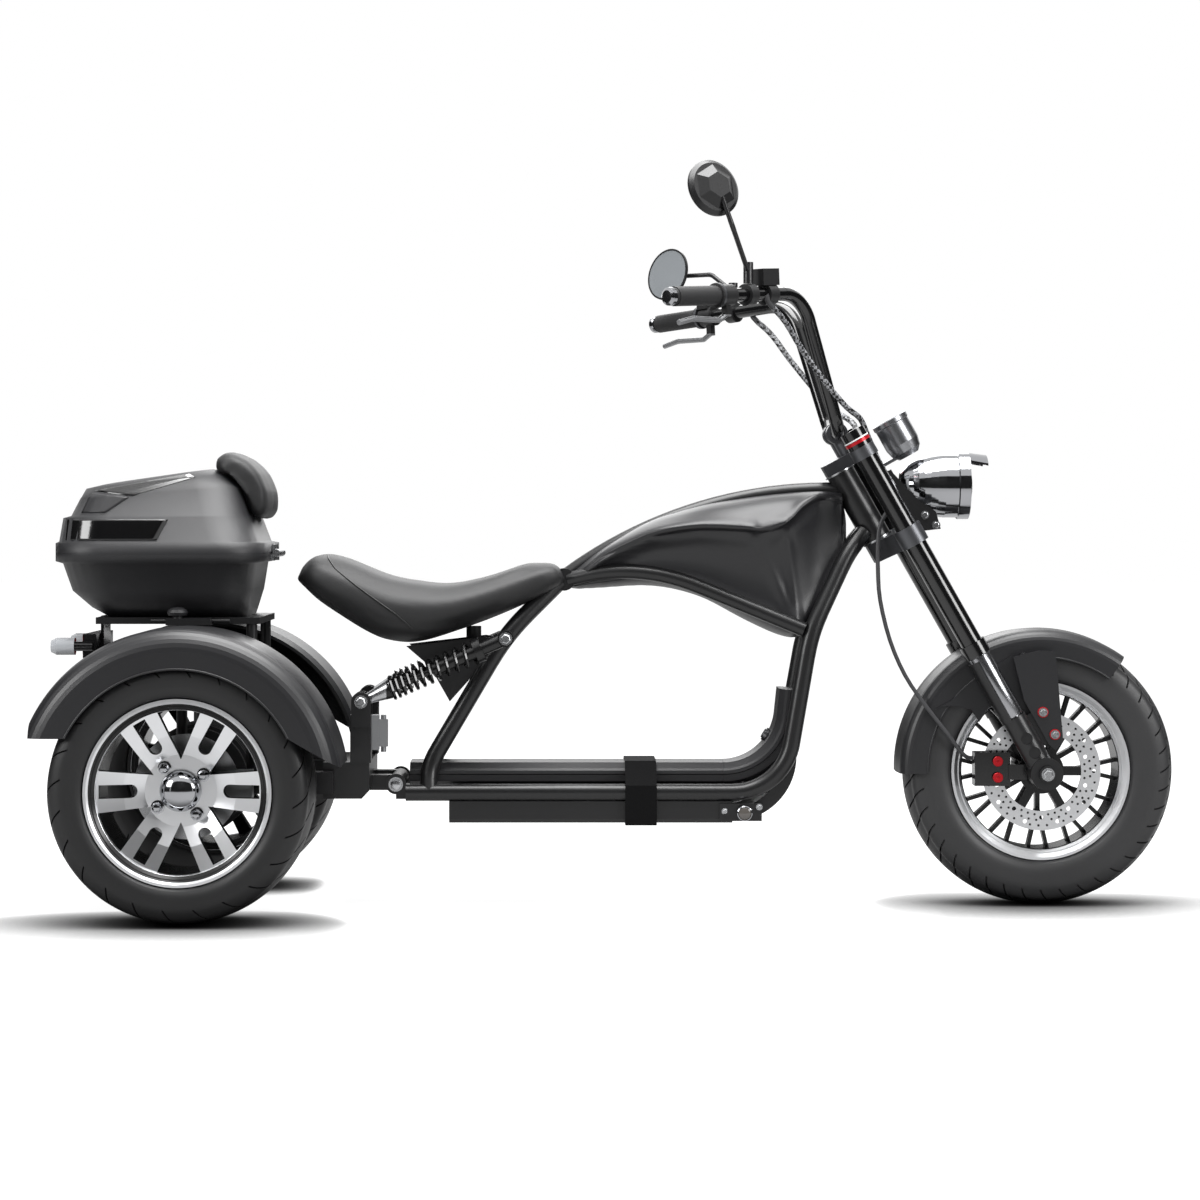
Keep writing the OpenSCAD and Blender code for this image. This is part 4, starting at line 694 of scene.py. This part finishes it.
# Pressed glass: flutes about 14 mm apart bend what shows through it
glass = bpy.data.materials.new("clear pressed glass")
glass.use_nodes = True
glass_shader = glass.node_tree.nodes["Principled BSDF"]
glass_shader.inputs["Base Color"].default_value = linear("#eef3f6")
glass_shader.inputs["Roughness"].default_value = 0.03
glass_shader.inputs["IOR"].default_value = 1.5
glass_shader.inputs["Transmission Weight"].default_value = 0.95
flutes = add(glass.node_tree, "ShaderNodeTexWave", {"bands_direction": "Y"}, {"Scale": 22.0},
             {"Vector": (add(glass.node_tree, "ShaderNodeTexCoord"), "Object")})
flute_relief = add(glass.node_tree, "ShaderNodeBump", values={"Strength": 0.35, "Distance": 0.001},
                   links={"Height": (flutes, "Fac")})
glass.node_tree.links.new(flute_relief.outputs["Normal"], glass_shader.inputs["Normal"])
dress(glass, "headlamp_lens")

# Handlebar, grips and controls.
# One bent tube in gloss black with rubber grips, moulded controls with bare aluminium levers, and
# round mirrors with satin black backs.
dress(gloss_coat, "handlebar")
dress(frame_coat, "mirror_heads")
# Coarse soft rubber with hardly any shine, and dull moulded controls
grip_rubber = finish("soft black grip rubber", "#19191a", 0.6, grain=4.0, bump=0.5)
dress(grip_rubber, "grips")
control_plastic = finish("black moulded nylon with bare aluminium levers", "#1a1a1b", 0.42, grain=0.8,
                         bump=0.1)
# The levers are what lies more than 34 mm below the bar, on either side
second_finish(control_plastic, (0.0459, -0.0472, -0.9978), -1.0875, "#9fa0a2", 1.0, fold=True)
dress(control_plastic, "hand_controls")
bar_tip = Vector((0.0943, 0.390, 1.1104))
bar_run = Vector((-0.6955, 0.7155, -0.0658))
grip_length = 0.118
bar_ends, bar_flanges = bmesh.new(), bmesh.new()
for side in (-1, 1):
    tip = Vector((bar_tip.x, side * bar_tip.y, bar_tip.z))
    run = Vector((bar_run.x, side * bar_run.y, bar_run.z))
    turned(bar_ends, tip + run * 0.0055, run,
           [(0, 0), (0, 15), (2, 16.5), (9, 16), (13, 11), (14, 0)], 32)
    turned(bar_flanges, tip - run * grip_length, run,
           [(0, 20), (0, 22.4), (2.5, 22.6), (5, 22.4), (5, 20)], 40)
build("bar_end_caps", bar_ends, chrome, "steering")
build("grip_flanges", bar_flanges, clamp_alloy, "steering")
# Silvered glass: the clearest mirror on the vehicle, but partly a matt pale grey, a painted reflection
# of the bright surround
silvered_with_painted_reflection = finish("silvered glass with a painted pale reflection", "#b0b5b9", 0.04, metallic=0.6, spread=0.01, bump=0.0)
dress(silvered_with_painted_reflection, "mirror_glasses")

# Brake hose and control cables.
# Rubber hose with a weak sheen, and cables in a black and white braided sleeve, held by clips on the
# steering. The braid's check is about 6 mm wide, as coarse as it needs to be to show.
hose_rubber = finish("grey brake hose", "#3c3c3e", 0.45)
dress(hose_rubber, "brake_hose")
braid = bpy.data.materials.new("black and white braided sleeve")
braid.use_nodes = True
braid_shader = braid.node_tree.nodes["Principled BSDF"]
braid_shader.inputs["Roughness"].default_value = 0.5
strands = add(braid.node_tree, "ShaderNodeTexChecker",
              values={"Scale": 170.0, "Color1": linear("#0e0e0f"), "Color2": linear("#8e8f92")},
              links={"Vector": (add(braid.node_tree, "ShaderNodeTexCoord"), "Object")})
braid.node_tree.links.new(strands.outputs["Color"], braid_shader.inputs["Base Color"])
dress(braid, "cable_loom")
cable_ends = []
for side in (-1, 1):
    cable_ends.append([(0.2793, side * 0.215, 1.1034), (0.272, side * 0.221, 1.112),
                       (0.2655, side * 0.228, 1.126)])
piping("cable_ends", cable_ends, 0.0056, hose_rubber, "steering")

# Stage, light and camera.
# A pale floor that keeps the lamps' shadows, with a painted shadow darkening it round the wheels, an
# even white surround, soft boxes above and at the sides, and dark cloths out of view that give the black
# paint its depth.
scene = bpy.context.scene
scene.view_settings.view_transform = "Standard"
world = bpy.data.worlds.new("white surround")
scene.world = world
world.use_nodes = True
sky = world.node_tree.nodes["Background"]
path = add(world.node_tree, "ShaderNodeLightPath")
seen = add(world.node_tree, "ShaderNodeMath", {"operation": "MAXIMUM"},
           links={0: (path, "Is Camera Ray"), 1: (path, "Is Glossy Ray")})
seen = add(world.node_tree, "ShaderNodeMath", {"operation": "MAXIMUM"},
           links={0: (seen, 0), 1: (path, "Is Transmission Ray")})
strength = add(world.node_tree, "ShaderNodeMapRange", values={"To Min": 0.2, "To Max": 1.0},
               links={"Value": (seen, 0)})
sky.inputs["Color"].default_value = (1, 1, 1, 1)
world.node_tree.links.new(strength.outputs["Result"], sky.inputs["Strength"])

ground = bmesh.new()
bmesh.ops.create_grid(ground, x_segments=1, y_segments=1, size=30)
mesh = bpy.data.meshes.new("floor")
ground.to_mesh(mesh)
ground.free()
floor = bpy.data.objects.new("floor", mesh)
scene.collection.objects.link(floor)
floor_paint = bpy.data.materials.new("white floor paint")
floor_paint.use_nodes = True
tree = floor_paint.node_tree
matt = tree.nodes["Principled BSDF"]
matt.inputs["Roughness"].default_value = 0.9
matt.inputs["Specular IOR Level"].default_value = 0.0
spot = add(tree, "ShaderNodeSeparateXYZ", links={0: (add(tree, "ShaderNodeTexCoord"), "Object")})
off_deck = add(tree, "ShaderNodeMath", {"operation": "ABSOLUTE"}, links={0: (spot, "X")})
# Painted shadow: the floor's colour and glow darken with its nearness to the object, reaching further
# round the wheels than under the deck, and fading behind the middle planes of the near rear wheel and of
# the front wheel
deck_reach, wheel_reach, far_share = 0.12, 0.31, 0.3
near_rear_y, front_y = -0.30, 0.02
range_x = add(tree, "ShaderNodeMapRange",
              values={"From Min": 0.45, "From Max": 0.60, "To Min": deck_reach, "To Max": wheel_reach},
              links={"Value": (off_deck, 0)})
plane_y = add(tree, "ShaderNodeMapRange",
              values={"From Min": -0.3, "From Max": 0.3, "To Min": near_rear_y, "To Max": front_y},
              links={"Value": (spot, "X")})
beyond = add(tree, "ShaderNodeMath", {"operation": "SUBTRACT"},
             links={0: (spot, "Y"), 1: (plane_y, "Result")})
range_y = add(tree, "ShaderNodeMapRange",
              values={"From Min": 0.0, "From Max": 0.18, "To Min": 1.0, "To Max": far_share},
              links={"Value": (beyond, 0)})
depth = add(tree, "ShaderNodeMath", {"operation": "MULTIPLY"},
            links={0: (range_x, "Result"), 1: (range_y, "Result")})
closeness = add(tree, "ShaderNodeAmbientOcclusion", {"samples": 16}, links={"Distance": (depth, 0)})
painted_contact_shadow = add(tree, "ShaderNodeMath", {"operation": "POWER"}, {1: 3.2}, {0: (closeness, "AO")})
tone = add(tree, "ShaderNodeMix", {"data_type": "RGBA"},
           {6: (0.02, 0.02, 0.02, 1), 7: (0.32, 0.32, 0.32, 1)}, {0: (painted_contact_shadow, 0)})
tree.links.new(tone.outputs[2], matt.inputs["Base Color"])
path = add(tree, "ShaderNodeLightPath")
# The floor glows white to the camera, less so near the object and in what mirrors it
mirrored = add(tree, "ShaderNodeMath", {"operation": "MULTIPLY"}, {1: 0.3}, {0: (path, "Is Glossy Ray")})
seen = add(tree, "ShaderNodeMath", {"operation": "MAXIMUM"},
           links={0: (path, "Is Camera Ray"), 1: (mirrored, 0)})
away = add(tree, "ShaderNodeVectorMath", {"operation": "LENGTH"},
           links={0: (add(tree, "ShaderNodeTexCoord"), "Object")})
near_lift = add(tree, "ShaderNodeMapRange",
                values={"From Min": 0.9, "From Max": 3.0, "To Min": 0.86, "To Max": 1.0},
                links={"Value": (away, "Value")})
lift = add(tree, "ShaderNodeMath", {"operation": "MULTIPLY"},
           links={0: (near_lift, "Result"), 1: (seen, 0)})
# The painted shadow also dims the floor's glow
lift = add(tree, "ShaderNodeMath", {"operation": "MULTIPLY"}, links={0: (lift, 0), 1: (painted_contact_shadow, 0)})
matt.inputs["Emission Color"].default_value = (1, 1, 1, 1)
tree.links.new(lift.outputs[0], matt.inputs["Emission Strength"])
mesh.materials.append(floor_paint)

shade = finish("black studio cloth", "#0c0c0c", 0.9)
cloth_away, cloth_half = 3.9, 3.7
for turn, height in ((0, 3.3), (90, 3.3), (180, 1.2), (270, 3.3)):
    cloth = bmesh.new()
    upright = (Matrix.Rotation(math.radians(turn), 4, "Z")
               @ Matrix.Translation((0, -cloth_away, height / 2))
               @ Matrix.Rotation(math.pi / 2, 4, "X") @ Matrix.Diagonal((cloth_half, height / 2, 1, 1)))
    bmesh.ops.create_grid(cloth, x_segments=1, y_segments=1, size=1, matrix=upright)
    mesh = bpy.data.meshes.new("shade_cloth")
    cloth.to_mesh(mesh)
    cloth.free()
    mesh.materials.append(shade)
    flag = bpy.data.objects.new("shade_cloth", mesh)
    flag.visible_camera = flag.visible_diffuse = flag.visible_shadow = flag.visible_transmission = False
    scene.collection.objects.link(flag)

for name, place, aim, size, power in (
        ("top_box", (0.1, -0.4, 3.4), (0, 0, 0.4), 2.6, 215),
        ("front_box", (3.4, -2.4, 1.9), (0.4, 0, 0.6), 1.6, 85),
        ("rear_box", (-3.4, -2.2, 1.9), (-0.5, 0, 0.5), 1.6, 75),
        ("camera_box", (-0.6, -4.6, 2.6), (0, 0, 0.5), 2.0, 36),
        ("back_box", (0.0, 3.4, 2.4), (0, 0, 0.6), 2.4, 45)):
    lamp = bpy.data.lights.new(name, "AREA")
    lamp.size = size
    lamp.energy = power
    light = bpy.data.objects.new(name, lamp)
    light.location = place
    light.rotation_euler = (Vector(aim) - Vector(place)).to_track_quat("-Z", "Y").to_euler()
    scene.collection.objects.link(light)

view = bpy.data.cameras.new("camera")
view.sensor_width = 36
view.lens = 94.35
view.shift_x = 0.0333
view.shift_y = -0.0667
camera = bpy.data.objects.new("camera", view)
camera.location = (-0.105, -5.9, 0.7186)
camera.rotation_euler = (math.pi / 2, 0, 0)
scene.collection.objects.link(camera)
scene.camera = camera

bpy.context.view_layer.update()
